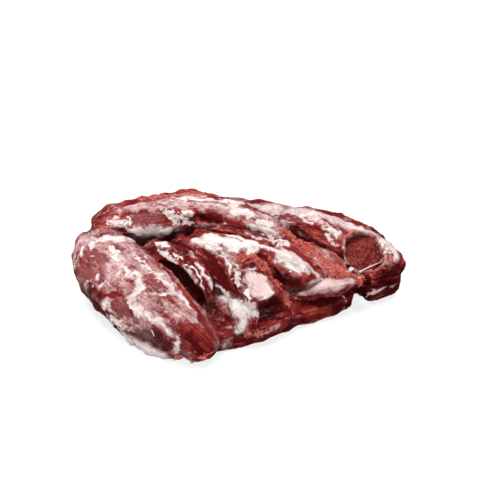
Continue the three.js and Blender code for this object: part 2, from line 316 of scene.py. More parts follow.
def cloudAt(points, size, seed=0, octaves=3):
    # Noise summed over octaves, each half the size and half as strong.
    return sum(noiseAt(points, size / 2**k, seed + k) / 2**k for k in range(octaves))


def ramp(values, low, high):
    # 0 below low, 1 above high, and 3t^2 - 2t^3 between.
    t = np.clip((values - low) / (high - low), 0, 1)
    return t * t * (3 - 2 * t)


def muscleCoordinates(points, stations=48):
    # For each point: the muscle that it is on, the millimetres along and round it, the way that its fibres
    # run, and how much nearer its own muscle's surface is than the next one's. The surface is where
    # (rho^b + |2s - 1|^b)^(1/b) is 1, rho being the profile's own measure.
    places = points + boxMiddle
    nearest = np.full(len(points), 1e9)
    second = np.full(len(points), 1e9)
    owner = np.zeros(len(points), int)
    along = np.zeros(len(points))
    around = np.zeros(len(points))
    way = np.zeros((len(points), 3))
    for k, muscle in enumerate(muscles.values()):
        share = (np.arange(stations) + 0.5) / stations
        place, tangent, across, above, sizes, speed = muscleFrame(muscle, share)
        apart = (places**2).sum(1)[:, None] - 2 * places @ place.T + (place**2).sum(1)[None]
        i = apart.argmin(1)
        away = places - place[i]
        shift = (away * tangent[i]).sum(1)
        s = share[i] + shift / speed[i]
        u = (away * across[i]).sum(1)
        v = (away * above[i]).sum(1)
        wide, deep = sizes[i].T
        q = muscle["square"]
        rho = ((np.abs(u) / wide) ** q + (np.abs(v) / deep) ** q) ** (1 / q)
        blunt = bluntness(muscle, s)
        reach = (rho**blunt + np.abs(2 * s - 1) ** blunt) ** (1 / blunt)
        distance = (reach - 1) * np.minimum(wide, deep)
        closer = distance < nearest
        second = np.where(closer, nearest, np.minimum(second, distance))
        nearest = np.where(closer, distance, nearest)
        owner[closer] = k
        along[closer] = (s * speed[i])[closer]
        around[closer] = (np.arctan2(v, u) * (wide + deep) / 2)[closer]
        way[closer] = tangent[i][closer]
    return dict(owner=owner, along=along, around=around, way=way, gap=second - nearest)


def strokeMask(points, line, radius, torn, tear):
    # One minus the distance from a line of places over its radius, with noise added at a torn edge.
    if len(line) == 1:
        line = np.vstack([line, line + 0.01])
    given = np.atleast_1d(np.asarray(radius, float))
    radii = np.interp(np.linspace(0, 1, len(line)), np.linspace(0, 1, len(given)), given)
    best = np.full(len(points), 1e9)
    for a, b, ra, rb in zip(line[:-1], line[1:], radii[:-1], radii[1:]):
        t = np.clip(((points - a) @ (b - a)) / ((b - a) @ (b - a)), 0, 1)
        reach = np.linalg.norm(points - a - t[:, None] * (b - a), axis=1) / (ra + (rb - ra) * t)
        best = np.minimum(best, reach)
    return 1 - best + torn * tear


# The camera comes before the strokes, because they are placed where it sees them.
view = dict(turn=-31.0, down=30.0, distance=1020.0, target=[0, 0, 51.5], lens=85.0, sensor=36.0,
            pixels=480, nearMiss=9)


def towardsCamera():
    # The way from the meat to the place where the strokes are seen from.
    turn, down = math.radians(view["turn"]), math.radians(view["down"])
    return np.array([math.sin(turn) * math.cos(down), -math.cos(turn) * math.cos(down), math.sin(down)])


def makeCamera():
    forward = Vector(-towardsCamera())
    target = Vector(view["target"]) - Vector(boxMiddle)
    data = bpy.data.cameras.new("camera")
    data.lens = view["lens"]
    data.sensor_width = view["sensor"]
    data.clip_start = 0.05
    camera = bpy.data.objects.new("camera", data)
    camera.location = (target - forward * view["distance"]) * millimetre
    camera.rotation_euler = forward.to_track_quat("-Z", "Y").to_euler()
    bpy.context.scene.collection.objects.link(camera)
    bpy.context.scene.camera = camera


makeCamera()


# What lies on the muscles. Each stroke is (radius in mm, strength, the line where the camera sees it, in
# pixels of a 480 x 480 picture). The strength is how torn its edge is, or for clefts and swells how many
# millimetres it moves the skin, and for flats how near to a plane. Dark and red strokes only change the
# lean's tone, and the dark strokes are partly painted shade.
apronSeen = [(219, 286), (226, 297), (235, 306), (241, 316), (241, 328)]
apronRightSeen = [(243, 304), (250, 309), (257, 314)]
riverSeen = [(138, 277), (138, 292), (130, 303), (142, 314), (160, 323)]
strokes = {
    "fat": dict(
        lobeTop=([4, 5.5, 6, 5], 0.35, [(95, 240), (108, 238), (121, 238), (133, 241)]),
        lobeTopHook=(2.5, 0.6, [(93, 241), (90, 248)]),
        lobeStreak=([2.5, 3, 2.2], 0.7, [(111, 247), (115, 254), (121, 261)]),
        lobeBand=(1.4, 0.4, [(160, 294), (172, 294), (181, 295)]),
        lobeBandEnd=([1.8, 2.4, 2], 0.5, [(180, 297), (186, 302), (190, 309)]),
        lobeNotch=(3.2, 0.6, [(101, 304), (108, 302)]),
        lobeRim=([5, 7, 7, 5], 0.35, [(124, 333), (138, 343), (150, 351), (163, 358)]),
        lobeStem=([2.6, 3, 3, 2.5], 0.5, [(161, 324), (170, 333), (176, 343), (177, 353)]),
        leftEdge=(2.2, 0.6, [(75, 268), (78, 258), (83, 248)]),
        leftLow=(1.8, 0.8, [(84, 284), (90, 280), (97, 276)]),
        leftLower=(1.3, 0.8, [(92, 288), (99, 284), (105, 283)]),
        strapUnder=([4, 5, 5.5, 4.5], 0.35, [(129, 230), (142, 231), (158, 232), (171, 229)]),
        strapChip=([3.2, 3], 0.25, [(184, 211), (190, 214)]),
        strapCorner=(1.8, 0.6, [(108, 209), (114, 205)]),
        strapCrest=([2, 3, 3], 0.7, [(172, 201), (198, 199), (224, 202)]),
        strapPatch=([4, 5, 4], 0.55, [(234, 209), (244, 211), (250, 216)]),
        strapPatchFar=([3.5, 4.5, 3.5], 0.5, [(259, 221), (266, 224), (273, 228)]),
        strapFar=([3.5, 5, 5, 4], 0.45, [(254, 227), (265, 231), (277, 237), (286, 243)]),
        tongueCrest=([2.6, 3.2, 2.6], 0.5, [(157, 243), (163, 243), (168, 246)]),
        tongueSpeck=([2, 2.6, 2.6, 1.8], 0.5, [(159, 249), (165, 254), (171, 259), (176, 262)]),
        tongueRim=([1.0, 1.3, 1.3, 1.0], 0.8, [(172, 252), (182, 259), (192, 268), (199, 280), (203, 290)]),
        midLeft=([4, 6, 5], 0.4, [(193, 238), (202, 240), (213, 246)]),
        midTop=([5, 7, 7.5, 5], 0.5, [(204, 235), (220, 240), (237, 245), (252, 248)]),
        midBack=(2.6, 0.6, [(228, 235), (246, 240), (262, 246)]),
        midRidge=([3, 3.5, 3.5, 2.8], 0.4, [(263, 246), (280, 252), (297, 262), (308, 274)]),
        midSecond=([6, 8, 6], 0.45, [(279, 256), (288, 261), (295, 269)]),
        apron=([2.2, 4, 6.5, 7.5, 5], 0.12, apronSeen),
        apronRight=([4, 5, 3], 0.15, apronRightSeen),
        facetCorner=(3, 0.5, [(245, 269), (254, 267)]),
        facetFlake=([2.6, 3, 2.4], 0.3, [(245, 289), (249, 294), (252, 298)]),
        fringeBits=([2, 2.6, 2.2], 0.8, [(344, 262), (351, 268), (356, 274)]),
        rightSpot=([1.4, 2, 1.4], 0.6, [(325, 234), (332, 240), (338, 245)]),
        endWhite=(2.4, 0.6, [(382, 245), (386, 253)]),
        cutEdge=(1.2, 0.4, [(355, 272), (363, 270), (372, 266), (381, 259)]),
        lobeRiver=([1.8, 2.6, 3, 2.6, 2], 0.8,
                   [(124, 269), (136, 275), (141, 285), (137, 296), (128, 303)]),
        lobeRiverLow=([2, 3, 2.6, 2], 0.8, [(128, 303), (138, 312), (150, 319), (161, 324)]),
        midStep=([3, 4, 3.5, 2.5], 0.5, [(216, 249), (224, 256), (229, 264), (231, 272)]),
    ),
    "crumbs": dict(
        lobeLow=([4, 4, 4], 0.8, [(108, 316), (118, 323), (130, 330)]),
        lobeCrest=([3, 3, 3, 3], 0.8, [(136, 258), (149, 269), (164, 281), (177, 292)]),
        strapLeft=([3, 4, 4], 0.8, [(106, 221), (116, 222), (128, 221)]),
        strapMiddle=([4, 5, 5, 3], 0.8, [(163, 211), (173, 214), (186, 220), (197, 225)]),
        midMottle=([3, 4, 3], 0.8, [(235, 262), (238, 272), (238, 282)]),
        strapRight=(4, 0.8, [(262, 234), (274, 240), (284, 246)]),
    ),
    "film": dict(
        lobeCentre=([7, 9, 8], 0.5, [(107, 262), (114, 272), (122, 283)]),
        lobeLow=([5, 6, 7, 6], 0.5, [(112, 311), (128, 316), (146, 320), (160, 326)]),
        lobeCrest=(4, 0.6, [(127, 256), (143, 268), (160, 280), (176, 294)]),
        lobeTip=([6, 7, 6], 0.6, [(165, 305), (176, 314), (186, 324)]),
        apronTop=([3, 4, 4], 0.4, [(217, 276), (225, 288), (232, 298)]),
        midLower=([5, 6, 4], 0.5, [(219, 250), (231, 259), (239, 268)]),
        lobeLeft=(4, 0.6, [(73, 272), (78, 282), (88, 292)]),
        strapSheen=(6, 0.5, [(118, 209), (140, 207), (160, 205)]),
        strapTop=([6, 8, 9, 9, 9, 8], 0.5, [(165, 204), (190, 203), (215, 205), (240, 209), (265, 215),
                                            (285, 221)]),
        strapFar=(5, 0.4, [(250, 224), (264, 232), (280, 241)]),
        cavity=(4, 0.5, [(136, 238), (146, 243)]),
        grooveFilm=([2.5, 3, 3.5, 3.5], 0.4, [(190, 252), (198, 264), (206, 278), (216, 292)]),
        wedgeEdge=(2, 0.3, [(209, 268), (215, 280), (221, 292)]),
        stemFilm=(2.2, 0.4, [(236, 276), (241, 286), (243, 296)]),
        midBack=([3, 4, 4], 0.5, [(262, 243), (282, 250), (300, 260)]),
        fringeTop=([4, 5, 4], 0.7, [(310, 252), (318, 262), (324, 272)]),
        rightStreakHigh=(1.3, 0.4, [(300, 214), (316, 222), (332, 233)]),
        rightStreakLow=(1.3, 0.4, [(306, 223), (322, 233), (338, 246)]),
        slabRim=(1.8, 0.4, [(300, 326), (318, 320), (336, 314), (345, 308)]),
        greyFlap=(3, 0.5, [(258, 333), (268, 330), (278, 326)]),
        wallPale=(1.6, 0.4, [(363, 279), (371, 280)]),
        rightBand=([1.6, 2, 1.6], 0.6, [(308, 226), (324, 237), (340, 250)]),
        facetLine=(1.1, 0.5, [(256, 314), (266, 311), (277, 306)]),
        cellLine=(1.1, 0.5, [(258, 318), (268, 316), (278, 317), (287, 309)]),
        cellLineLow=(1.0, 0.5, [(270, 318), (264, 324), (258, 330), (251, 334)]),
        wallCurve=(1.0, 0.5, [(384, 267), (391, 266), (397, 269), (399, 262)]),
        wallMiddle=([1.6, 2.4, 1.6], 0.6, [(368, 285), (378, 281), (390, 279)]),
        river=([6, 8, 8, 7, 7, 6], 0.5, [(124, 269), *riverSeen]),
        topEdge=([4, 5, 5], 0.6, [(140, 203), (170, 200), (205, 200)]),
    ),
    "skin": dict(
        facet=([8, 10, 9], 0.2, [(251, 274), (258, 281), (264, 292)]),
        facetSide=(4.5, 0.3, [(246, 280), (250, 290)]),
        whiteBand=([2, 3, 3.5, 4], 0.3, [(284, 250), (298, 258), (309, 268), (317, 279)]),
        strapEdge=([2, 2.5, 2.5, 2], 0.35, [(222, 226), (248, 234), (272, 242), (296, 254)]),
        rightTop=([6, 9, 10, 9, 7], 0.3, [(276, 206), (294, 210), (314, 214), (334, 220), (354, 228)]),
        rightNear=([4, 5.5, 5], 0.45, [(293, 213), (314, 221), (337, 233)]),
        endTop=([6, 8, 8, 6], 0.3, [(362, 229), (376, 234), (389, 245), (396, 255)]),
        cutLip=([2, 2.5, 2], 0.3, [(344, 246), (344, 256), (350, 266)]),
        wallBand=([2, 3, 2.8, 2], 0.25, [(361, 295), (372, 291), (384, 287), (394, 285)]),
        backTop=([7, 9, 8], 0.6, [(232, 203), (256, 206), (280, 210)]),
        apron=([2.2, 4, 6.5, 7.5, 5], 0.12, apronSeen),
        apronRight=([4, 5, 3], 0.15, apronRightSeen),
        grooveSkin=([2, 2.8, 3.4, 3.4], 0.3, [(196, 262), (203, 274), (211, 286), (221, 297)]),
        lobeRim=([5, 7, 7, 6], 0.25, [(122, 336), (136, 345), (149, 353), (162, 360)]),
        slabCurve=(1.6, 0.3, [(341, 295), (346, 301), (343, 308)]),
        river=([2.5, 4, 4, 3.5, 4, 3], 0.6, [(126, 269), *riverSeen]),
    ),
    "cartilage": dict(
        bar=([4, 6.5, 8, 7, 4], 0.15, [(293, 295), (306, 289), (320, 285), (336, 283), (351, 281)]),
        tongueLens=([2.2, 3, 2.4], 0.1, [(181, 265), (188, 272), (195, 282)]),
        facetFace=([6, 8, 7], 0.1, [(253, 277), (259, 283), (263, 291)]),
    ),
    "bare": dict(
        lobeRed=([2.5, 3, 2], 0.8, [(96, 292), (108, 294), (121, 295)]),
        lobeTip=([9, 12, 9], 0.4, [(186, 331), (197, 339), (205, 347)]),
        lobeEdge=([1.8, 2.4, 2.8, 3.4, 4], 0.3,
                  [(152, 257), (170, 276), (188, 297), (203, 319), (211, 335)]),
        strapCorner=(3.5, 0.5, [(99, 224), (107, 216)]),
        strapDark=([3, 5, 6, 4.5], 0.3, [(196, 213), (214, 219), (236, 227), (254, 235)]),
        tongueFlank=([4, 5, 5], 0.3, [(152, 250), (164, 262), (176, 276)]),
        tongueBack=([4, 5, 4], 0.4, [(170, 238), (178, 246), (184, 256)]),
        wedge=([4, 5.5, 6, 4], 0.15, [(201, 249), (212, 262), (222, 277), (233, 294)]),
        stem=([2.5, 2.5, 2], 0.3, [(230, 272), (236, 286), (240, 299)]),
        midUnderStrap=(2.2, 0.6, [(212, 231), (222, 231), (233, 234)]),
        midValley=([3, 4.5, 5, 5], 0.5, [(253, 248), (264, 257), (274, 269), (280, 282)]),
        midEnd=([3, 4.5, 4], 0.3, [(299, 270), (304, 278), (298, 287)]),
        facetRim=([2.5, 3.5, 3], 0.3, [(253, 306), (263, 306), (275, 301)]),
        cell=([2.5, 3], 0.2, [(274, 313), (284, 311)]),
        cellLow=(3, 0.2, [(260, 324), (266, 320)]),
        rightLean=([3, 5, 6, 4], 0.7, [(297, 217), (312, 229), (328, 241), (342, 254)]),
        slab=(8, 0.2, [(296, 306), (315, 308), (335, 301)]),
        wallMiddle=(3, 0.2, [(364, 287), (376, 284), (388, 280)]),
        wall=([5, 7, 6], 0.3, [(366, 281), (380, 276), (395, 271)]),
    ),
    # Darker lean tone: partly the lean's own darker patches, partly painted shade where faces turn from the
    # lights, as on the end wall and the slab's top under the bar.
    "dark": dict(
        wedge=([3, 4.5, 5, 3.5], 0.15, [(202, 250), (212, 262), (220, 275), (229, 289)]),
        tongueBack=(4, 0.3, [(172, 239), (181, 249), (189, 262)]),
        grooveDark=([1.5, 2, 2.5], 0.3, [(200, 281), (207, 293), (214, 304)]),
        cellular=(6, 0.5, [(207, 296), (214, 309), (221, 322)]),
        strapDark=([3, 4, 4, 3], 0.3, [(196, 214), (214, 220), (236, 229), (254, 236)]),
        slabTop=(4, 0.4, [(300, 301), (318, 301), (336, 297)]),
        wall=([5, 6, 6], 0.4, [(366, 282), (380, 277), (394, 271)]),
        rightFlank=([2, 3, 2], 0.4, [(298, 224), (312, 238), (330, 251)]),
        lobeTip=([4, 5], 0.6, [(190, 334), (198, 350)]),
    ),
    "red": dict(
        wedgeEdge=([1.4, 2, 2.4, 2], 0.3, [(226, 271), (231, 281), (236, 291), (240, 301)]),
        midCorner=([2, 3, 2], 0.4, [(182, 231), (188, 238), (193, 247)]),
        tongueStart=(3, 0.3, [(142, 246), (147, 243), (153, 240)]),
        tongueEnd=([2, 3, 3], 0.3, [(200, 286), (204, 294), (204, 301)]),
        lobeEdge=(1.6, 0.4, [(150, 257), (170, 275), (190, 298), (207, 320)]),
        slabStripe=(1.6, 0.5, [(296, 309), (311, 313), (326, 310)]),
        midEnd=([3, 4.5, 4], 0.3, [(299, 268), (306, 275), (300, 285)]),
        rightFlank=([2, 3, 2], 0.6, [(310, 231), (324, 242), (338, 252)]),
        strapEnd=([3, 4, 3], 0.5, [(96, 228), (104, 219), (112, 212)]),
        wall=([2, 3, 2.4], 0.5, [(370, 272), (382, 269), (396, 268)]),
        wallFoot=([2, 3, 2], 0.5, [(364, 300), (376, 296), (390, 289)]),
        slabLine=(1.2, 0.5, [(308, 313), (320, 308), (330, 303)]),
    ),
    "veiled": dict(
        purplePatch=([5, 6, 3.5], 0.35, [(85, 255), (94, 256), (105, 258)]),
        brownPatch=([4, 6, 4], 0.5, [(80, 272), (90, 274), (100, 277)]),
        lobeMauve=([3.5, 5, 3.5], 0.6, [(114, 303), (122, 308), (130, 313)]),
        roundPatch=([5, 7, 5], 0.25, [(154, 331), (161, 339), (166, 347)]),
        strapLens=([3, 4.2, 3], 0.45, [(132, 221), (146, 219), (160, 217)]),
        lobeInner=([3, 4.5, 3], 0.7, [(146, 275), (155, 282), (163, 290)]),
    ),
    "bright": dict(
        lobeCrease=([2.5, 3.2, 2], 0.5, [(98, 231), (110, 230), (124, 233)]),
        lobeShoulder=(2, 0.7, [(79, 247), (86, 238)]),
        tipRed=(2.6, 0.3, [(173, 352), (178, 358)]),
        tipEdge=(1.6, 0.5, [(188, 357), (200, 356), (209, 353)]),
        sliver=(3.2, 0.4, [(140, 199), (165, 196), (190, 194), (212, 195)]),
        strapEnd=([4.5, 6, 5], 0.6, [(283, 231), (292, 236), (300, 242)]),
        midRim=(1.5, 0.5, [(233, 263), (240, 256), (250, 254), (257, 259)]),
        midTorn=([2.0, 3.0, 2.8], 0.7, [(240, 259), (250, 255), (260, 262), (270, 272), (277, 284)]),
        facetEdge=(1.4, 0.6, [(235, 272), (241, 268), (247, 266)]),
        facetSide=([3, 4.5, 3.5], 0.5, [(276, 285), (282, 294), (285, 303)]),
        flapRed=([2, 2.6, 2.2], 0.3, [(246, 335), (254, 332), (262, 330)]),
        fringe=(5, 0.9, [(304, 249), (316, 258), (330, 266), (342, 274)]),
        endSpot=(2.4, 0.6, [(390, 257), (396, 261)]),
        endTop=(1.8, 0.6, [(366, 227), (374, 230)]),
        rightLine=(1.1, 0.3, [(305, 217), (318, 225), (326, 231)]),
        rightLineHigh=(1.1, 0.3, [(313, 216), (329, 227)]),
        knob=(5, 0.4, [(358, 281)]),
    ),
    "rough": dict(
        cellular=([5, 8, 7], 0.3, [(206, 290), (213, 305), (220, 322)]),
        net=(4, 0.4, [(314, 298), (322, 300), (330, 300)]),
    ),
    "cleft": dict(
        tongueGap=([2.5, 3.5, 4.5, 4], 4.0, [(164, 268), (175, 278), (186, 289), (197, 300)]),
        strapGap=([2, 2.4, 2.4, 2], 2.5, [(207, 229), (230, 233), (254, 240), (272, 246)]),
        strapLine=(0.9, 1.3, [(200, 216), (220, 223), (246, 231)]),
        rightGroove=([2.2, 2.6, 2.8, 2.4], 2.6, [(289, 219), (302, 232), (320, 247), (343, 261)]),
        rightLineLow=(0.9, 1.4, [(303, 217), (314, 226), (326, 233)]),
        rightLineHigh=(0.9, 1.4, [(318, 215), (328, 223), (338, 231)]),
        barUnder=(1.6, 2.5, [(291, 299), (306, 297), (318, 294)]),
        fissure=(0.9, 2.0, [(376, 243), (377, 254)]),
        wallLine=(1.0, 1.6, [(372, 269), (386, 265), (397, 264)]),
        wallLineLow=(1.2, 2.0, [(362, 284), (376, 279), (400, 273)]),
        wallFoot=(1.2, 1.8, [(362, 300), (376, 296), (390, 290)]),
        cellGap=(1.0, 2.0, [(258, 321), (270, 318), (282, 318)]),
        knobGap=(2.0, 3.0, [(351, 288), (356, 293), (358, 300)]),
        wedgeLine=(1.2, 1.6, [(228, 268), (233, 282), (237, 296)]),
        lobeStep=(2.0, 1.6, [(99, 301), (108, 313), (122, 325), (140, 338)]),
    ),
    "swell": dict(
        midRidge=(4, 2.0, [(263, 247), (280, 253), (296, 263)]),
        facetTop=(2.6, 1.4, [(244, 270), (254, 266), (262, 270)]),
        midValley=(5, -3.5, [(254, 250), (264, 259), (273, 270), (279, 283)]),
        wedge=(6, -2.6, [(205, 252), (216, 266), (226, 282), (233, 295)]),
        cavity=(5, -2.5, [(134, 240), (142, 243), (150, 243)]),
        strapDark=(5, -1.8, [(200, 217), (220, 223), (244, 231)]),
        apron=(5, 1.2, [(230, 306), (239, 318)]),
        lobeEdge=(3, 1.0, [(160, 264), (180, 286), (198, 310)]),
    ),
    "flat": dict(
        facet=(9, 1.0, [(247, 273), (257, 269), (266, 283), (268, 295), (255, 300), (247, 288)]),
    ),
}

coats = {
    "fat": dict(lift=0.45, lumps=0.05),
    "crumbs": dict(lift=0.4, lumps=0.7),
    "film": dict(lift=0.1, lumps=0.1),
    "skin": dict(lift=0.4, lumps=0.1),
    "cartilage": dict(lift=0.3, lumps=0.0),
    "bare": dict(lift=-0.4, lumps=0.0),
    "veiled": dict(lift=-0.3, lumps=0.0),
    "dark": dict(lift=0.0, lumps=0.0),
    "red": dict(lift=0.0, lumps=0.0),
    "bright": dict(lift=0.3, lumps=0.9),
    "rough": dict(lift=-0.3, lumps=1.3),
}

# How much thin pale skin, bare lean and redness each muscle has of its own, before the strokes.
lean = {
    "underside": dict(film=-0.15, tone=0.45),
    "endLobe": dict(film=0.35, tone=0.5),
    "endSkirt": dict(film=0.15, tone=0.5),
    "tongue": dict(film=-0.35, tone=0.25),
    "wedge": dict(film=-0.9, tone=0.15),
    "midLobe": dict(film=-0.5, tone=0.5),
    "facet": dict(film=-0.5, tone=0.35),
    "fatApron": dict(film=-0.4, tone=0.5),
    "strap": dict(film=0.1, tone=0.5),
    "fringe": dict(film=-0.1, tone=0.8),
    "backSliver": dict(film=-0.3, tone=0.9),
    "backRidge": dict(film=0.4, tone=0.55),
    "rightMuscle": dict(film=-0.05, tone=0.55),
    "rightEnd": dict(film=-0.2, tone=0.3),
    "rightFoot": dict(film=-0.6, tone=0.25),
    "endWall": dict(film=-0.5, tone=0.38),
    "knob": dict(film=-0.9, tone=0.9),
    "frontBar": dict(film=0.1, tone=0.6),
    "frontSlab": dict(film=-0.8, tone=0.5),
    "frontLayers": dict(film=-0.5, tone=0.5),
}

crossCut = dict(at=[96.3, -55.8, 36.4], facing=[-0.22, -0.6, 0.77], halfWide=17.0, halfLong=18.8,
                square=2.8, below=-0.6, edgeBig=0.10, edgeSmall=0.05, grainSmall=0.45, grainBig=0.7,
                fissure=1.6, rimWide=0.06, rimBelow=-3)


def skinPlace(piece, x, y):
    # Where the camera sees a pixel on the piece, or the nearest pixel beside it that hits.
    camera = bpy.context.scene.camera.matrix_world
    perPixel = view["sensor"] / view["lens"] / view["pixels"]
    middle = view["pixels"] / 2
    for reach in range(view["nearMiss"]):
        for dx, dy in ((0, 0), (0, 1), (1, 0), (-1, 0), (0, -1)):
            ray = camera.to_3x3() @ Vector(((x + dx * reach + 0.5 - middle) * perPixel,
                                            -(y + dy * reach + 0.5 - middle) * perPixel, -1))
            hit, place, _, _ = piece.ray_cast(camera.translation, ray.normalized())
            if hit:
                return np.array(place) / millimetre
    raise ValueError(f"pixel {x}, {y} isn't on the meat")


def skinPlaces(piece, pixels):
    return np.array([skinPlace(piece, x, y) for x, y in pixels])


def placeStrokes(piece):
    # The line of each stroke, in millimetres on the skin.
    bpy.context.view_layer.update()
    return {(coat, name): skinPlaces(piece, seenAt)
            for coat, group in strokes.items() for name, (_, _, seenAt) in group.items()}


def evened(mesh, points, rounds):
    # Each point moved to the mean of its neighbours, again and again.
    ends = arrayOf(mesh, "edges", "vertices", 2).astype(int)
    first, second = np.concatenate([ends[:, 0], ends[:, 1]]), np.concatenate([ends[:, 1], ends[:, 0]])
    count = np.bincount(first, minlength=len(points))
    for _ in range(rounds):
        points = np.column_stack([np.bincount(first, points[second, k], len(points)) / count
                                  for k in range(3)])
    return points


openness = dict(cell=2.0, far=(2, 4, 7, 11, 16, 22), ways=16, shutFrom=0.40, shutAt=0.16)
hiddenFat = dict(apart=17.0, least=0.30, sharp=1.3, thick=0.6)


def skySeen(points):
    # How much of the sky each point sees: the mean over compass ways of 1 - sin(the steepest rise to the
    # skin that way).
    cell = openness["cell"]
    low = points[:, :2].min(0) - openness["far"][-1] - cell
    size = ((points[:, :2].max(0) - low + openness["far"][-1] + cell) / cell).astype(int) + 1
    top = np.full(size, -50.0)
    at = ((points[:, :2] - low) / cell).astype(int)
    np.maximum.at(top, (at[:, 0], at[:, 1]), points[:, 2])
    seen = np.zeros(len(points))
    for turn in 2 * np.pi * np.arange(openness["ways"]) / openness["ways"]:
        rise = np.zeros(len(points))
        for far in openness["far"]:
            there = ((points[:, :2] + far * np.array([np.cos(turn), np.sin(turn)]) - low)
                     / cell).astype(int)
            rise = np.maximum(rise, (top[there[:, 0], there[:, 1]] - points[:, 2]) / far)
        seen += 1 - rise / np.sqrt(1 + rise**2)
    return seen / openness["ways"]


tornEdges = dict(big=0.9, bigApart=7.0, small=0.6, smallApart=3.0)
bentEdges = dict(big=3.4, bigApart=10.0, small=1.7, smallApart=4.0)
relief = dict(fill=0.9, fillRounds=22, crestRounds=9, crease=0.5, creaseWide=2.0,
              bigLumps=0.5, bigApart=24.0, smallLumps=0.32, smallApart=8.0,
              bundles=0.35, bundleWide=5.0, fibres=0.3, fibreWide=2.4)


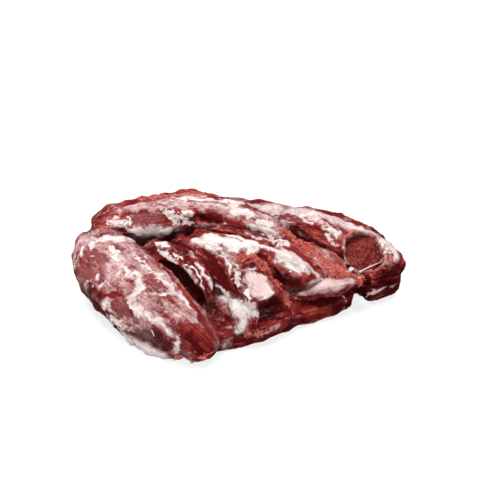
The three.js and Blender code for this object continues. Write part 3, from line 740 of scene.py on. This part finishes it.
def pushedOut(piece, lines):
    # Moves each point along its normal by lumps, fibre bundles, the coats' thickness and the clefts, and
    # stores what the material reads at each point.
    mesh = piece.data
    points = arrayOf(mesh, "vertices", "co", 3) / millimetre
    normals = arrayOf(mesh, "vertex_normals", "vector", 3)
    tear = (tornEdges["big"] * noiseAt(points, tornEdges["bigApart"], 3)
            + tornEdges["small"] * noiseAt(points, tornEdges["smallApart"], 4))
    bend = [bentEdges["big"] * noiseAt(points, bentEdges["bigApart"], 40 + k)
            + bentEdges["small"] * noiseAt(points, bentEdges["smallApart"], 43 + k) for k in range(3)]
    bent = points + np.column_stack(bend)

    def maskOf(coat, name, torn):
        places = bent if coat in coats else points
        return strokeMask(places, lines[coat, name], strokes[coat][name][0], torn, tear)

    deep = np.zeros(len(points))
    for name in strokes["cleft"]:
        deep = np.maximum(deep, ramp(maskOf("cleft", name, 0.15), -0.25, 0.6))
    filled = ((evened(mesh, points, relief["fillRounds"]) - points) * normals).sum(1)
    move = relief["fill"] * np.maximum(filled, 0) * (1 - deep)
    for name, (_, height, _) in strokes["swell"].items():
        move += height * ramp(maskOf("swell", name, 0.2), 0.0, 1.0)
    for name, (_, depth, _) in strokes["cleft"].items():
        move -= depth * ramp(maskOf("cleft", name, 0.2), 0.0, 0.8)
    flatWay = np.zeros((len(points), 3))
    for name, (_, share, _) in strokes["flat"].items():
        corners = lines["flat", name]
        centre = corners.mean(0)
        facing = np.linalg.svd(corners - centre)[2][2]
        cover = share * ramp(maskOf("flat", name, 0.1), 0.0, 0.35)
        flatWay -= (cover * ((points - centre) @ facing))[:, None] * facing

    on = muscleCoordinates(points)
    bundles = np.column_stack([on["around"], on["along"] / 9, on["owner"] * 31.0])
    move += (relief["bigLumps"] * cloudAt(points, relief["bigApart"], 5, 2)
             + relief["smallLumps"] * noiseAt(points, relief["smallApart"], 8))
    ridges = 1 - 2 * np.abs(noiseAt(bundles, relief["bundleWide"], 9))
    move += relief["bundles"] * ridges * ramp(noiseAt(points, 20.0, 19), -0.5, 0.3)
    move += relief["fibres"] * noiseAt(bundles, relief["fibreWide"], 10)
    move -= relief["crease"] * np.exp(-on["gap"] / relief["creaseWide"])
    grains = noiseAt(points, 2.6, 11)
    fields = {coat: np.full(len(points), -1.0) for coat in coats}
    for coat in coats:
        heights = np.zeros(len(points))
        for name, (radius, torn, _) in strokes[coat].items():
            mask = maskOf(coat, name, torn)
            fields[coat] = np.maximum(fields[coat], mask)
            heights = np.maximum(heights, ramp(mask, -0.05, 0.4) * min(1.0, np.mean(radius) / 4))
        if coat == "fat":
            hidden = ramp(-normals @ towardsCamera(), -0.15, 0.35)
            patches = cloudAt(bent, hiddenFat["apart"], 50, 3) - hiddenFat["least"]
            patches = hidden * patches * hiddenFat["sharp"] - (1 - hidden)
            fields[coat] = np.maximum(fields[coat], patches)
            heights = np.maximum(heights, hiddenFat["thick"] * ramp(patches, -0.05, 0.4))
        move += (coats[coat]["lift"] * heights
                 + coats[coat]["lumps"] * grains * ramp(fields[coat], -0.05, 0.4))
    points = points + flatWay + normals * move[:, None]

    # The cross cut is a plane: what stands above it inside the oval is brought down to it.
    facing = unit(np.array(crossCut["facing"]))
    sideways = unit(np.cross([0.0, 0.0, 1.0], facing))
    uphill = np.cross(sideways, facing)
    away = points + boxMiddle - np.array(crossCut["at"])
    above = away @ facing
    square = crossCut["square"]
    oval = (np.abs(away @ sideways / crossCut["halfWide"]) ** square
            + np.abs(away @ uphill / crossCut["halfLong"]) ** square) ** (1 / square)
    oval = (oval + crossCut["edgeBig"] * noiseAt(points, 9.0, 20)
            + crossCut["edgeSmall"] * noiseAt(points, 3.5, 21))
    inside = (oval < 1.0) & (above > crossCut["below"])
    cutGrain = (crossCut["grainSmall"] * noiseAt(points, 3.0, 12)
                + crossCut["grainBig"] * noiseAt(points, 8.0, 13))
    cutGrain -= crossCut["fissure"] * ramp(maskOf("cleft", "fissure", 0.2), 0.0, 0.8)
    points = points - np.where(inside, above - cutGrain, 0)[:, None] * facing
    points[:, 2] = np.maximum(points[:, 2], 0)

    mesh.vertices.foreach_set("co", (points * millimetre).astype(np.float32).ravel())
    mesh.update()
    # How far each point stands out of its smoothed neighbours. The material uses it to paint shade into
    # hollows, and partly a highlight onto crests.
    crest = ((points - evened(mesh, points, relief["crestRounds"])) * normals).sum(1)
    # Painted shade: points that see little sky, under overhangs and in hollows and not under pale skin, are
    # darkened through crease.
    hollowShade = ramp(-skySeen(points), -openness["shutFrom"], -openness["shutAt"])
    hollowShade *= ramp(normals[:, 2], -0.6, -0.2)
    hollowShade *= 1 - ramp(fields["skin"], -0.1, 0.4)
    ownFilm, ownTone = (np.array([lean[name][what] for name in muscles])[on["owner"]]
                        for what in ("film", "tone"))
    # Painted shade in the seams between muscles, broken up by noise.
    seamShade = 0.75 * np.exp(-on["gap"] / 1.3) * ramp(noiseAt(points, 12.0, 18), -0.3, 0.5)
    film = ownFilm + 0.75 * cloudAt(points, 18.0, 14, 3) + 0.25 * noiseAt(bundles, 6.0, 15)
    film = np.maximum(film, np.maximum(fields["film"], fields["cartilage"]))
    film = np.where(fields["bare"] > -0.3, np.minimum(film, -fields["bare"]), film)
    film = np.where(fields["veiled"] > -0.2, np.minimum(film, 0.12 - 0.35 * fields["veiled"]), film)
    film = np.where(inside, -1, film)
    paint = dict(
        film=film,
        rim=(np.exp(-((oval - 1) / crossCut["rimWide"]) ** 2) * (above > crossCut["rimBelow"])
             * ramp(noiseAt(points, 7.0, 22), -0.2, 0.4)),
        fat=np.where(inside, -1, fields["fat"]),
        crumbs=fields["crumbs"],
        bright=fields["bright"],
        rough=fields["rough"],
        smooth=ramp(fields["cartilage"], 0.0, 0.4),
        thick=ramp(fields["skin"], -0.05, 0.45),
        veiled=ramp(fields["veiled"], -0.1, 0.4),
        # Dark strokes lower the tone, partly as painted shade; red strokes raise it.
        tone=(ownTone + 0.35 * cloudAt(points, 14.0, 16, 2) + 0.45 * ramp(fields["red"], -0.1, 0.4)
              - 0.5 * ramp(fields["dark"], -0.1, 0.4)),
        # crease carries painted shade: the clefts, the hollows that see little sky, and the seams between
        # muscles.
        crease=np.maximum.reduce([deep, 0.9 * hollowShade, seamShade]),
        crest=crest,
        cut=inside.astype(float),
    )
    for name, values in paint.items():
        mesh.attributes.new(name, "FLOAT", "POINT").data.foreach_set("value", values.astype(np.float32))
    fibre = np.column_stack([on["around"], on["along"], on["owner"] * 7.0])
    for name, values in dict(fibre=fibre, way=on["way"]).items():
        mesh.attributes.new(name, "FLOAT_VECTOR", "POINT").data.foreach_set(
            "vector", values.astype(np.float32).ravel())


lines = placeStrokes(neck)
say(f"{len(lines)} strokes placed")
pushedOut(neck, lines)
say("lumps, bundles and coats pushed out")
thin = neck.modifiers.new("fewer", "DECIMATE")
thin.ratio = min(1.0, skin["mostTriangles"] / (2 * len(neck.data.polygons)))
applyModifiers(neck)
neck.data.shade_smooth()
lowest = arrayOf(neck.data, "vertices", "co", 3)[:, 2].min()
say(f"thinned to {len(neck.data.polygons)} faces, lowest point {lowest:.5f}")


class Wire:
    # A socket in a node tree. Sums on it add Math nodes, and make() adds any other node.
    def __init__(self, tree, socket=None):
        self.tree = tree
        self.socket = socket

    def make(self, kind, settings=None, inputs=None, out=0):
        node = self.tree.nodes.new("ShaderNode" + kind)
        for key, value in (settings or {}).items():
            if key == "stops":
                for i, (place, colour) in enumerate(value):
                    stop = node.color_ramp.elements[i] if i < 2 else node.color_ramp.elements.new(place)
                    stop.position = place
                    stop.color = (*colour, 1)
            else:
                setattr(node, key, value)
        for key, value in (inputs or {}).items():
            if isinstance(value, Wire):
                self.tree.links.new(value.socket, node.inputs[key])
            else:
                node.inputs[key].default_value = value
        return Wire(self.tree, node.outputs[out] if len(node.outputs) else None)

    def sum(self, operation, first, second):
        return self.make("Math", dict(operation=operation), {0: first, 1: second})

    def __add__(self, other):
        return self.sum("ADD", self, other)

    def __radd__(self, other):
        return self.sum("ADD", other, self)

    def __sub__(self, other):
        return self.sum("SUBTRACT", self, other)

    def __rsub__(self, other):
        return self.sum("SUBTRACT", other, self)

    def __mul__(self, other):
        return self.sum("MULTIPLY", self, other)

    def __rmul__(self, other):
        return self.sum("MULTIPLY", other, self)

    def between(self, low, high):
        # 0 below low, 1 above high, smooth between.
        return self.make("MapRange", dict(interpolation_type="SMOOTHSTEP"),
                         {"Value": self, "From Min": low, "From Max": high})

    def attribute(self, name, out="Fac"):
        return self.make("Attribute", dict(attribute_name=name), out=out)

    def noise(self, place, scale, detail=3.0, rough=0.55):
        inputs = {"Vector": place, "Scale": scale, "Detail": detail, "Roughness": rough}
        return self.make("TexNoise", {}, inputs)

    def size(self):
        # The value without its sign.
        return self.make("Math", dict(operation="ABSOLUTE"), {0: self})

    def mixed(self, mask, first, second):
        # The first colour where mask is 0, the second where it is 1.
        first, second = ((*c, 1) if isinstance(c, tuple) else c for c in (first, second))
        return self.make("Mix", dict(data_type="RGBA"), {0: mask, 6: first, 7: second}, out=2)

    def stretched(self, place, scale):
        return self.make("VectorMath", dict(operation="MULTIPLY"), {0: place, 1: scale})


# deep is the near-black red of the painted shade in creases and hollows, and of the holes in crumbly lean;
# edge is the red of torn edges, and partly a painted highlight on crests.
meat = dict(
    deep=(0.020, 0.0006, 0.001), dark=(0.064, 0.0022, 0.003), middle=(0.175, 0.013, 0.013),
    fresh=(0.30, 0.048, 0.036), edge=(0.43, 0.115, 0.092), filmThin=(0.22, 0.075, 0.074),
    filmMiddle=(0.36, 0.21, 0.205), filmPale=(0.51, 0.41, 0.405), fatPink=(0.48, 0.335, 0.32),
    fatWhite=(0.555, 0.51, 0.495), cutGrain=(0.27, 0.052, 0.045), cutDark=(0.07, 0.005, 0.005),
    cartilage=(0.48, 0.32, 0.315), mauve=(0.20, 0.062, 0.066),
)
patternScale = dict(tear=380, fine=1150, cloud=85, grain=520.0, speck=720)  # lumps a metre
wetSkin = dict(rough=0.40, coatRough=0.14, relief=0.0013, under=0.05, underFar=0.0010, ior=1.38,
               specular=0.12)


def newMaterial(name):
    # A material whose node tree is empty, and a wire to build it with.
    material = bpy.data.materials.new(name)
    material.use_nodes = True
    material.node_tree.nodes.clear()
    return material, Wire(material.node_tree)


def meatMaterial():
    material, w = newMaterial("rawPorkNeck")
    place = w.make("TexCoord", out="Object")
    fibre = w.attribute("fibre", out="Vector")
    fat, film, crumbs, bright, rough, tone, smooth, thick, crest, crease, cut, rim, veiled = (
        w.attribute(name) for name in ("fat", "film", "crumbs", "bright", "rough", "tone", "smooth", "thick",
                                       "crest", "crease", "cut", "rim", "veiled"))

    def alongFibres(often, seldom, detail, rough=0.55):
        # Noise from -0.5 to 0.5, often round the muscle and seldom along it, in turns a millimetre.
        return w.noise(w.stretched(fibre, (often, seldom, 1.0)), 1.0, detail, rough) - 0.5

    # Patterns from about -1 to 1.
    tear = (w.noise(place, patternScale["tear"], 4, 0.65) - 0.5) * 2.8
    fine = (w.noise(place, patternScale["fine"], 2) - 0.5) * 2.5
    cloud = (w.noise(place, patternScale["cloud"], 4) - 0.5) * 2.5
    streak = alongFibres(0.80, 0.055, 4, 0.6) * 2.5
    wisps = alongFibres(0.30, 0.085, 5, 0.62) * 2.5
    bundle = alongFibres(0.28, 0.018, 3) * 2.5
    strand = alongFibres(0.26, 0.014, 3).size().between(0.0, 0.075)
    fold = alongFibres(0.22, 0.09, 4, 0.6).size().between(0.0, 0.09)
    grain = w.make("TexVoronoi", {}, {"Vector": place, "Scale": patternScale["grain"]}, out="Distance")
    speck = (w.noise(place, patternScale["speck"], 3, 0.6) - 0.5) * 3.0

    # Masks, from attributes whose edges the patterns tear.
    fatVeil = (fat + 0.55 * wisps + 0.22 * tear + 0.22 * speck).between(-0.50, 0.35)
    fatCore = (fat + 0.42 * wisps + 0.20 * streak + 0.16 * tear + 0.25 * speck).between(-0.02, 0.42)
    crumbMask = (crumbs + 0.85 * tear + 0.5 * fine + 0.3 * wisps - 0.34).between(-0.10, 0.25)
    brightMask = (bright + 0.5 * tear + 0.3 * fine).between(0.0, 0.4)
    roughMask = rough.between(-0.05, 0.35)
    bare = 1 - smooth
    filmMask = (film + bare * (0.52 * wisps + 0.40 * streak + 0.30 * tear + 0.34 * speck)
                ).between(-0.15, 0.75)
    # Less film where crease paints shade, so that the painted shade in the hollows stays dark red.
    filmMask = w.sum("MAXIMUM", filmMask, thick * (1 + 0.25 * tear + 0.3 * speck)) * (0.94 - 0.8 * crease)
    chips = (0.35 * film + 0.55 * tear + 0.8 * speck + 0.3 * streak).between(0.72, 1.0) * filmMask

    shades = [(0.0, meat["dark"]), (1.0, meat["fresh"]), (0.52, meat["middle"])]
    leanShade = w.make("ValToRGB", dict(stops=shades),
                       {0: tone + 0.40 * bundle + 0.42 * streak + 0.16 * tear})
    leanShade = w.mixed((1 - strand) * 0.7, leanShade, meat["dark"])
    leanShade = w.mixed(w.sum("MAXIMUM", cloud.between(0.2, 0.9) * 0.4, veiled * 0.6), leanShade,
                        meat["mauve"])
    leanShade = w.mixed(brightMask * 0.85, leanShade,
                        w.mixed((fine + tear).between(-0.4, 0.9), meat["fresh"], meat["edge"]))
    # Crests take the bright edge red: partly the redder torn edges of the lean, partly a painted highlight
    # on convex edges.
    leanShade = w.mixed((crest + 0.35 * tear).between(0.25, 1.1) * 0.6, leanShade, meat["edge"])
    leanShade = w.mixed(roughMask * (0 - tear - 0.6 * speck).between(-0.2, 0.6) * 0.85, leanShade,
                        meat["deep"])
    leanShade = w.mixed(roughMask * (speck + 0.5 * tear).between(0.3, 0.9) * 0.7, leanShade,
                        meat["filmMiddle"])
    cutShade = w.mixed((0.30 + 0.2 * grain + 0.75 * tear + 0.5 * cloud + 0.5 * speck).between(-0.05, 1.05),
                       meat["cutDark"], meat["cutGrain"])
    cutShade = w.mixed((0.6 * tear + 0.8 * speck).between(0.80, 1.1) * 0.7, cutShade, meat["filmMiddle"])
    leanShade = w.mixed(cut * 0.95, leanShade, cutShade)
    # Painted shade: creases, clefts, seams, hollows that see little sky, and concave places turn to the
    # near-black deep red.
    paintedShade = w.sum("MAXIMUM", crease * 0.85, (0 - crest - 0.2 * tear).between(0.35, 1.3) * 0.75)
    leanShade = w.mixed(paintedShade, leanShade, meat["deep"])

    filmDepth = (0.36 + 0.34 * cloud + 0.42 * wisps + 0.42 * tear + 0.25 * fine + 0.32 * film
                 + 0.45 * thick).between(0.0, 1.15)
    filmStops = [(0.0, meat["filmThin"]), (1.0, meat["filmPale"]), (0.5, meat["filmMiddle"])]
    filmShade = w.make("ValToRGB", dict(stops=filmStops), {0: filmDepth})
    smoothShade = w.mixed((0.5 + 0.7 * cloud).between(0, 1), meat["cartilage"], meat["filmPale"])
    filmShade = w.mixed(thick * (0.5 + 0.5 * tear + 0.4 * cloud).between(0, 1) * 0.75, filmShade,
                        meat["fatWhite"])
    filmShade = w.mixed(smooth, filmShade, smoothShade)
    fatShade = (fatCore + 0.4 * tear + 0.3 * cloud + 0.35 * speck).between(0.05, 1.2)
    fatShade = w.mixed(fatShade, meat["fatPink"], meat["fatWhite"])
    # Fine folds in the fat turn a greyer pink: partly pink lines in the fat, partly painted shade in the
    # folds.
    fatShade = w.mixed((1 - fold) * 0.35, fatShade, meat["filmMiddle"])
    flecks = (0.7 * speck + 0.7 * tear - 0.3 * streak).between(0.85, 1.15) * (1 - thick)
    fatShade = w.mixed(flecks * 0.75, fatShade, meat["edge"])
    crumbShade = w.mixed((fine + tear).between(-0.6, 0.7), meat["fatPink"], meat["fatWhite"])
    rimShade = w.mixed((tear + 0.5 * fine).between(-0.3, 0.5), meat["edge"], meat["fatPink"])
    colour = w.mixed(filmMask, leanShade, filmShade)
    colour = w.mixed(rim * 0.8, colour, rimShade)
    colour = w.mixed(chips * 0.9, colour, meat["fatWhite"])
    colour = w.mixed(crumbMask * 0.85, colour, crumbShade)
    colour = w.mixed(fatVeil * 0.62, colour, fatShade)
    colour = w.mixed(fatCore, colour, fatShade)
    whiteMask = w.sum("MAXIMUM", w.sum("MAXIMUM", fatCore, crumbMask), chips)

    roughness = wetSkin["rough"] + 0.08 * fine + 0.06 * filmMask + 0.10 * whiteMask - 0.08 * smooth
    height = (0.40 * streak * bare + 0.25 * bundle + 0.45 * strand) * (1 - 0.8 * whiteMask)
    height = height + (0.35 + 0.3 * fold) * whiteMask + 0.25 * fatVeil + 0.2 * fine + 0.2 * tear * whiteMask
    height = (height + 0.25 * roughMask * tear + 0.35 * cut * tear + 0.3 * filmMask
              + 0.14 * bare * wisps + 0.08 * tear)
    bump = w.make("Bump", {}, {"Height": height, "Distance": wetSkin["relief"], "Strength": 1.0})
    wet = 0.5 - 0.3 * whiteMask + 0.2 * smooth
    surface = w.make("BsdfPrincipled", {}, {
        "Base Color": colour, "Roughness": roughness, "Normal": bump, "Coat Weight": wet,
        "Coat Roughness": wetSkin["coatRough"], "Specular IOR Level": wetSkin["specular"],
        "Subsurface Weight": wetSkin["under"], "Subsurface Radius": (1.0, 0.25, 0.18),
        "Subsurface Scale": wetSkin["underFar"], "IOR": wetSkin["ior"],
    })
    w.make("OutputMaterial", {}, {"Surface": surface})
    return material


neck.data.materials.clear()
neck.data.materials.append(meatMaterial())
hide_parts("pork_neck")
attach(neck, "root")


def tubes(name, centres, radii, across, above, sides):
    # Many closed forms at once: on each ring of each, centre + across * a cos(angle) + above * b sin(angle).
    count, rings = centres.shape[0], centres.shape[1] - 1
    angle = 2 * np.pi * np.arange(sides) / sides
    out = (across[:, :, None] * (radii[:, :, None, :1] * np.cos(angle)[None, None, :, None])
           + above[:, :, None] * (radii[:, :, None, 1:] * np.sin(angle)[None, None, :, None]))
    grid = (centres[:, :, None] + out)[:, 1:-1].reshape(count, -1, 3)
    verts = np.concatenate([centres[:, :1], grid, centres[:, -1:]], axis=1)
    shift = (np.arange(count) * verts.shape[1])[:, None, None]
    verts = verts.reshape(-1, 3)
    verts[:, 2] = np.maximum(verts[:, 2], 0)
    quads, tips = closedFaces(rings, sides)
    piece = meshFrom(name, verts, (quads[None] + shift).reshape(-1, 4), (tips[None] + shift).reshape(-1, 3))
    piece.data.shade_smooth()
    return piece


def surfaceData(piece):
    mesh = piece.data
    data = dict(co=arrayOf(mesh, "vertices", "co", 3) / millimetre,
                normal=arrayOf(mesh, "vertex_normals", "vector", 3))
    for name in ("fat", "crumbs", "bright", "cut"):
        values = np.empty(len(mesh.vertices), np.float32)
        mesh.attributes[name].data.foreach_get("value", values)
        data[name] = values.astype(float)
    way = np.empty(len(mesh.vertices) * 3, np.float32)
    mesh.attributes["way"].data.foreach_get("vector", way)
    data["way"] = way.reshape(-1, 3).astype(float)
    return data


crumbs = dict(count=380, long=(0.6, 2.2), wide=(0.35, 1.0), deep=(0.12, 0.32), sink=0.1, uneven=0.25,
              onEdge=0.12, edgeAt=0.05, edgeWide=0.22, rings=6, sides=7, seed=21)
fibres = dict(count=620, long=(1.6, 5.5), thick=(0.35, 0.85), bow=0.10, curl=0.08, sway=0.12, drop=0.5,
              back=-0.4, scatter=0.5, taper=0.7, wide=1.5, deep=0.8, rings=8, sides=6, seed=22)
looseAbove = 4  # crumbs and fibres lie only above this height


def picked(surface, weight, count, seed):
    # Places drawn by weight, with the normal and the way of the fibres along the surface there.
    draw = np.random.RandomState(seed)
    at = draw.choice(len(weight), count, replace=False, p=weight / weight.sum())
    normal = unit(surface["normal"][at])
    way = surface["way"][at]
    way = unit(way - (way * normal).sum(1)[:, None] * normal)
    return draw, surface["co"][at], normal, way


def fatCrumbs(surface):
    # Short flat egg shapes, turned at random on the surface: sizes times sqrt(1 - u^2) from tip to tip.
    edge = np.exp(-((surface["fat"] - crumbs["edgeAt"]) / crumbs["edgeWide"]) ** 2) * crumbs["onEdge"]
    edge = edge + ramp(surface["crumbs"], -0.1, 0.4)
    weight = edge * (surface["cut"] < 0.5) * (surface["co"][:, 2] > looseAbove)
    draw, place, normal, way = picked(surface, weight, crumbs["count"], crumbs["seed"])
    spin = draw.uniform(0, 2 * np.pi, len(place))[:, None]
    side = np.cross(normal, way)
    along = np.cos(spin) * way + np.sin(spin) * side
    size = [draw.uniform(*crumbs[name], len(place)) for name in ("long", "wide", "deep")]
    u = np.linspace(-1, 1, crumbs["rings"] + 1)
    uneven = 1 + crumbs["uneven"] * draw.uniform(-1, 1, (len(place), len(u)))
    rounding = np.sqrt(np.maximum(1 - u**2, 0))[None] * uneven
    centres = place[:, None] + along[:, None] * (size[0][:, None] * u)[..., None]
    centres = centres + normal[:, None] * (crumbs["sink"] * size[2])[:, None, None]
    radii = np.stack([size[1][:, None] * rounding, size[2][:, None] * rounding], axis=-1)
    across = np.broadcast_to(np.cross(along, normal)[:, None], centres.shape)
    return tubes("fatCrumbs", centres, radii, across, np.broadcast_to(normal[:, None], centres.shape),
                 crumbs["sides"])


def tornFibres(surface):
    # Thin strands on the torn lean: along * u, plus a bow 4u(1 - u) and a curl u^2 off the surface.
    weight = ramp(surface["bright"], -0.15, 0.4) * (surface["cut"] < 0.5)
    weight = weight * (surface["co"][:, 2] > looseAbove)
    draw, place, normal, way = picked(surface, weight, fibres["count"], fibres["seed"])
    down = unit(normal * normal[:, 2:] - [0, 0, 1.0])
    along = unit(way * draw.choice([fibres["back"], 1.0], len(place))[:, None] + fibres["drop"] * down
                 + fibres["scatter"] * draw.normal(size=place.shape))
    along = unit(along - (along * normal).sum(1)[:, None] * normal)
    long = draw.uniform(*fibres["long"], len(place))[:, None]
    thick = draw.uniform(*fibres["thick"], len(place))[:, None]
    u = np.linspace(0, 1, fibres["rings"] + 1)[None]
    curl = fibres["curl"] * draw.uniform(-1, 1, (len(place), 1))
    off = long * (fibres["bow"] * 4 * u * (1 - u) + curl * u**2)
    sway = long * fibres["sway"] * draw.uniform(-1, 1, (len(place), 1)) * np.sin(3 * np.pi * u)
    side = np.cross(normal, along)
    centres = (place[:, None] + along[:, None] * (long * u)[..., None] + normal[:, None] * off[..., None]
               + side[:, None] * sway[..., None])
    taper = thick * (1 - fibres["taper"] * u) * np.sqrt(np.sin(np.pi * np.clip(0.15 + 0.85 * u, 0, 1)))
    radii = np.stack([fibres["wide"] * taper, fibres["deep"] * taper], axis=-1)
    return tubes("tornFibres", centres, radii, np.broadcast_to(side[:, None], centres.shape),
                 np.broadcast_to(normal[:, None], centres.shape), fibres["sides"])


# Thin white threads and edges of membranes on the meat, and one white thread that stands for a highlight:
# (radius in mm, the line in the picture's pixels).
threads = dict(
    purpleEdge=(0.40, [(151, 329), (154, 336)]),
    # A painted highlight: a pale thread where the smooth purple patch shows a glint.
    purplePatchHighlight=(0.30, [(89, 256), (95, 255)]),
    sliverLine=(0.35, [(165, 197), (185, 196), (205, 196)]),
    cutEdge=(0.55, [(356, 272), (362, 270), (372, 265), (382, 259)]),
    wallStep=(0.30, [(362, 298), (370, 293), (378, 290), (387, 285)]),
)
threadMake = dict(rings=30, sides=8, uneven=0.35, unevenApart=3.0, wander=0.5, wanderApart=4.0, sink=0.2,
                  wide=1.3, deep=0.75)


def whiteThreads(piece):
    # A round thread through each line's places on the surface, its radius uneven by noise.
    rings = threadMake["rings"]
    centres, radii, across, above = [], [], [], []
    share = np.linspace(0, 1, rings + 1)
    for name, (radius, seenAt) in threads.items():
        path = curveAt(skinPlaces(piece, seenAt), share)[0]
        found = [piece.closest_point_on_mesh(Vector(place * millimetre)) for place in path]
        path = np.array([place for _, place, _, _ in found]) / millimetre
        normal = np.array([way for _, _, way, _ in found])
        path[1:-1] = (path[:-2] + path[1:-1] + path[2:]) / 3
        path += threadMake["wander"] * np.column_stack(
            [noiseAt(path, threadMake["wanderApart"], 31 + k) for k in range(3)])
        along = unit(np.gradient(path, axis=0))
        normal = unit(normal - (normal * along).sum(1)[:, None] * along)
        ends = np.sqrt(1 - (2 * share - 1) ** 6)
        size = radius * (1 + threadMake["uneven"] * noiseAt(path, threadMake["unevenApart"], 30)) * ends
        centres.append(path + normal * threadMake["sink"] * radius)
        radii.append(np.column_stack([threadMake["wide"] * size, threadMake["deep"] * size]))
        above.append(normal)
        across.append(np.cross(along, normal))
    return tubes("whiteThreads", *(np.array(values) for values in (centres, radii, across, above)),
                 threadMake["sides"])


smallFinish = dict(fine=1400, relief=0.0006, coat=0.25, coatRough=0.15, under=0.08, underFar=0.0012,
                   ior=1.38)


def smallMaterial(name, low, high, scale, rough):
    # Two shades mixed by noise, with a fine bump.
    material, w = newMaterial(name)
    place = w.make("TexCoord", out="Object")
    patches = w.noise(place, scale, 3)
    fine = w.noise(place, smallFinish["fine"], 2)
    bump = w.make("Bump", {}, {"Height": fine + 0.6 * patches, "Distance": smallFinish["relief"],
                               "Strength": 0.8})
    surface = w.make("BsdfPrincipled", {}, {
        "Base Color": w.mixed((patches + 0.4 * fine - 0.2).between(0.25, 0.75), low, high),
        "Roughness": rough + 0.15 * fine, "Normal": bump, "Coat Weight": smallFinish["coat"],
        "Coat Roughness": smallFinish["coatRough"], "IOR": smallFinish["ior"],
        "Subsurface Weight": smallFinish["under"], "Subsurface Radius": (1.0, 0.3, 0.2),
        "Subsurface Scale": smallFinish["underFar"],
    })
    w.make("OutputMaterial", {}, {"Surface": surface})
    return material


def addSmallPieces():
    surface = surfaceData(neck)
    fatSmall = smallMaterial("smallFat", meat["fatPink"], meat["fatWhite"], 300, 0.42)
    tornLean = smallMaterial("tornLean", meat["fresh"], meat["edge"], 260, 0.36)
    made = ((fatCrumbs(surface), fatSmall), (tornFibres(surface), tornLean), (whiteThreads(neck), fatSmall))
    for piece, material in made:
        piece.data.materials.append(material)
        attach(piece, "root")
        say(f"{piece.name}: {len(piece.data.polygons)} faces")


addSmallPieces()

# Lights are placed as seen from the camera: right, away and up, in metres from the middle of the meat.
studio = dict(
    aim=(0, 0, 0.04),
    ground=1600.0, groundLow=-0.15, groundGlow=0.72, groundColour=0.24, bounce=0.05, sky=0.20, gloss=0.01,
    lights=dict(
        above=dict(at=(-0.35, 0.05, 1.15), size=0.6, power=19.5, gloss=False),
        backAbove=dict(at=(0.6, 0.6, 0.9), size=0.5, power=17.0, gloss=False),
        front=dict(at=(0.45, -1.1, 0.4), size=0.7, power=18.0, gloss=False),
        lowLeft=dict(at=(-1.1, -0.3, 0.12), size=0.5, power=18.0, gloss=False),
        glintLeft=dict(at=(-0.6, 0.1, 1.2), size=0.22, power=3.0, gloss=True),
        glintBack=dict(at=(0.2, 0.7, 0.9), size=0.22, power=2.5, gloss=True),
        glintFront=dict(at=(0.5, -0.9, 0.8), size=0.16, power=1.2, gloss=True),
    ),
)


def makeGround():
    # The camera sees white with a faint shadow, and the meat gets little light back from it.
    half, low = studio["ground"], studio["groundLow"]
    corners = np.array([[-half, -half, low], [half, -half, low], [half, half, low], [-half, half, low]])
    ground = meshFrom("ground", corners, np.array([[0, 1, 2, 3]]))
    material, w = newMaterial("whiteGround")
    seen = w.make("LightPath", out="Is Camera Ray")
    reflected = w.make("LightPath", out="Is Glossy Ray")
    glow = w.mixed(seen, (studio["bounce"],) * 3, (studio["groundGlow"],) * 3)
    glow = w.mixed(reflected, glow, (0.0, 0.0, 0.0))
    surface = w.make("BsdfPrincipled", {}, {
        "Base Color": w.mixed(reflected, (studio["groundColour"],) * 3, (0.0, 0.0, 0.0)),
        "Roughness": 0.9, "Specular IOR Level": 0.0,
        "Emission Color": glow, "Emission Strength": 1.0,
    })
    w.make("OutputMaterial", {}, {"Surface": surface})
    ground.data.materials.append(material)


def makeLights():
    turn = math.radians(view["turn"])
    right = np.array([math.cos(turn), math.sin(turn), 0])
    away = np.array([-math.sin(turn), math.cos(turn), 0])
    for name, light in studio["lights"].items():
        data = bpy.data.lights.new(name, "AREA")
        data.energy = light["power"]
        data.size = light["size"]
        lamp = bpy.data.objects.new(name, data)
        place = light["at"][0] * right + light["at"][1] * away + light["at"][2] * np.array([0, 0, 1.0])
        lamp.location = place
        lamp.rotation_euler = (Vector(studio["aim"]) - Vector(place)).to_track_quat("-Z", "Y").to_euler()
        lamp.visible_camera = False
        lamp.visible_diffuse = not light["gloss"]
        lamp.visible_glossy = light["gloss"]
        bpy.context.scene.collection.objects.link(lamp)


def makeSky():
    # White to the camera, dimmer as light, and nearly dark in reflections, so that the lean stays deep red.
    world = bpy.data.worlds.new("whiteStudio")
    world.use_nodes = True
    world.node_tree.nodes.clear()
    w = Wire(world.node_tree)
    shade = w.mixed(w.make("LightPath", out="Is Glossy Ray"), (studio["sky"],) * 3, (studio["gloss"],) * 3)
    shade = w.mixed(w.make("LightPath", out="Is Camera Ray"), shade, (1.0, 1.0, 1.0))
    background = w.make("Background", {}, {"Color": shade})
    w.make("OutputWorld", {}, {"Surface": background})
    bpy.context.scene.world = world
    bpy.context.scene.view_settings.view_transform = "Standard"


makeGround()
makeLights()
makeSky()
triangles = int((arrayOf(neck.data, "polygons", "loop_total", 1) - 2).sum())
say(f"dressed and lit, {triangles} triangles")
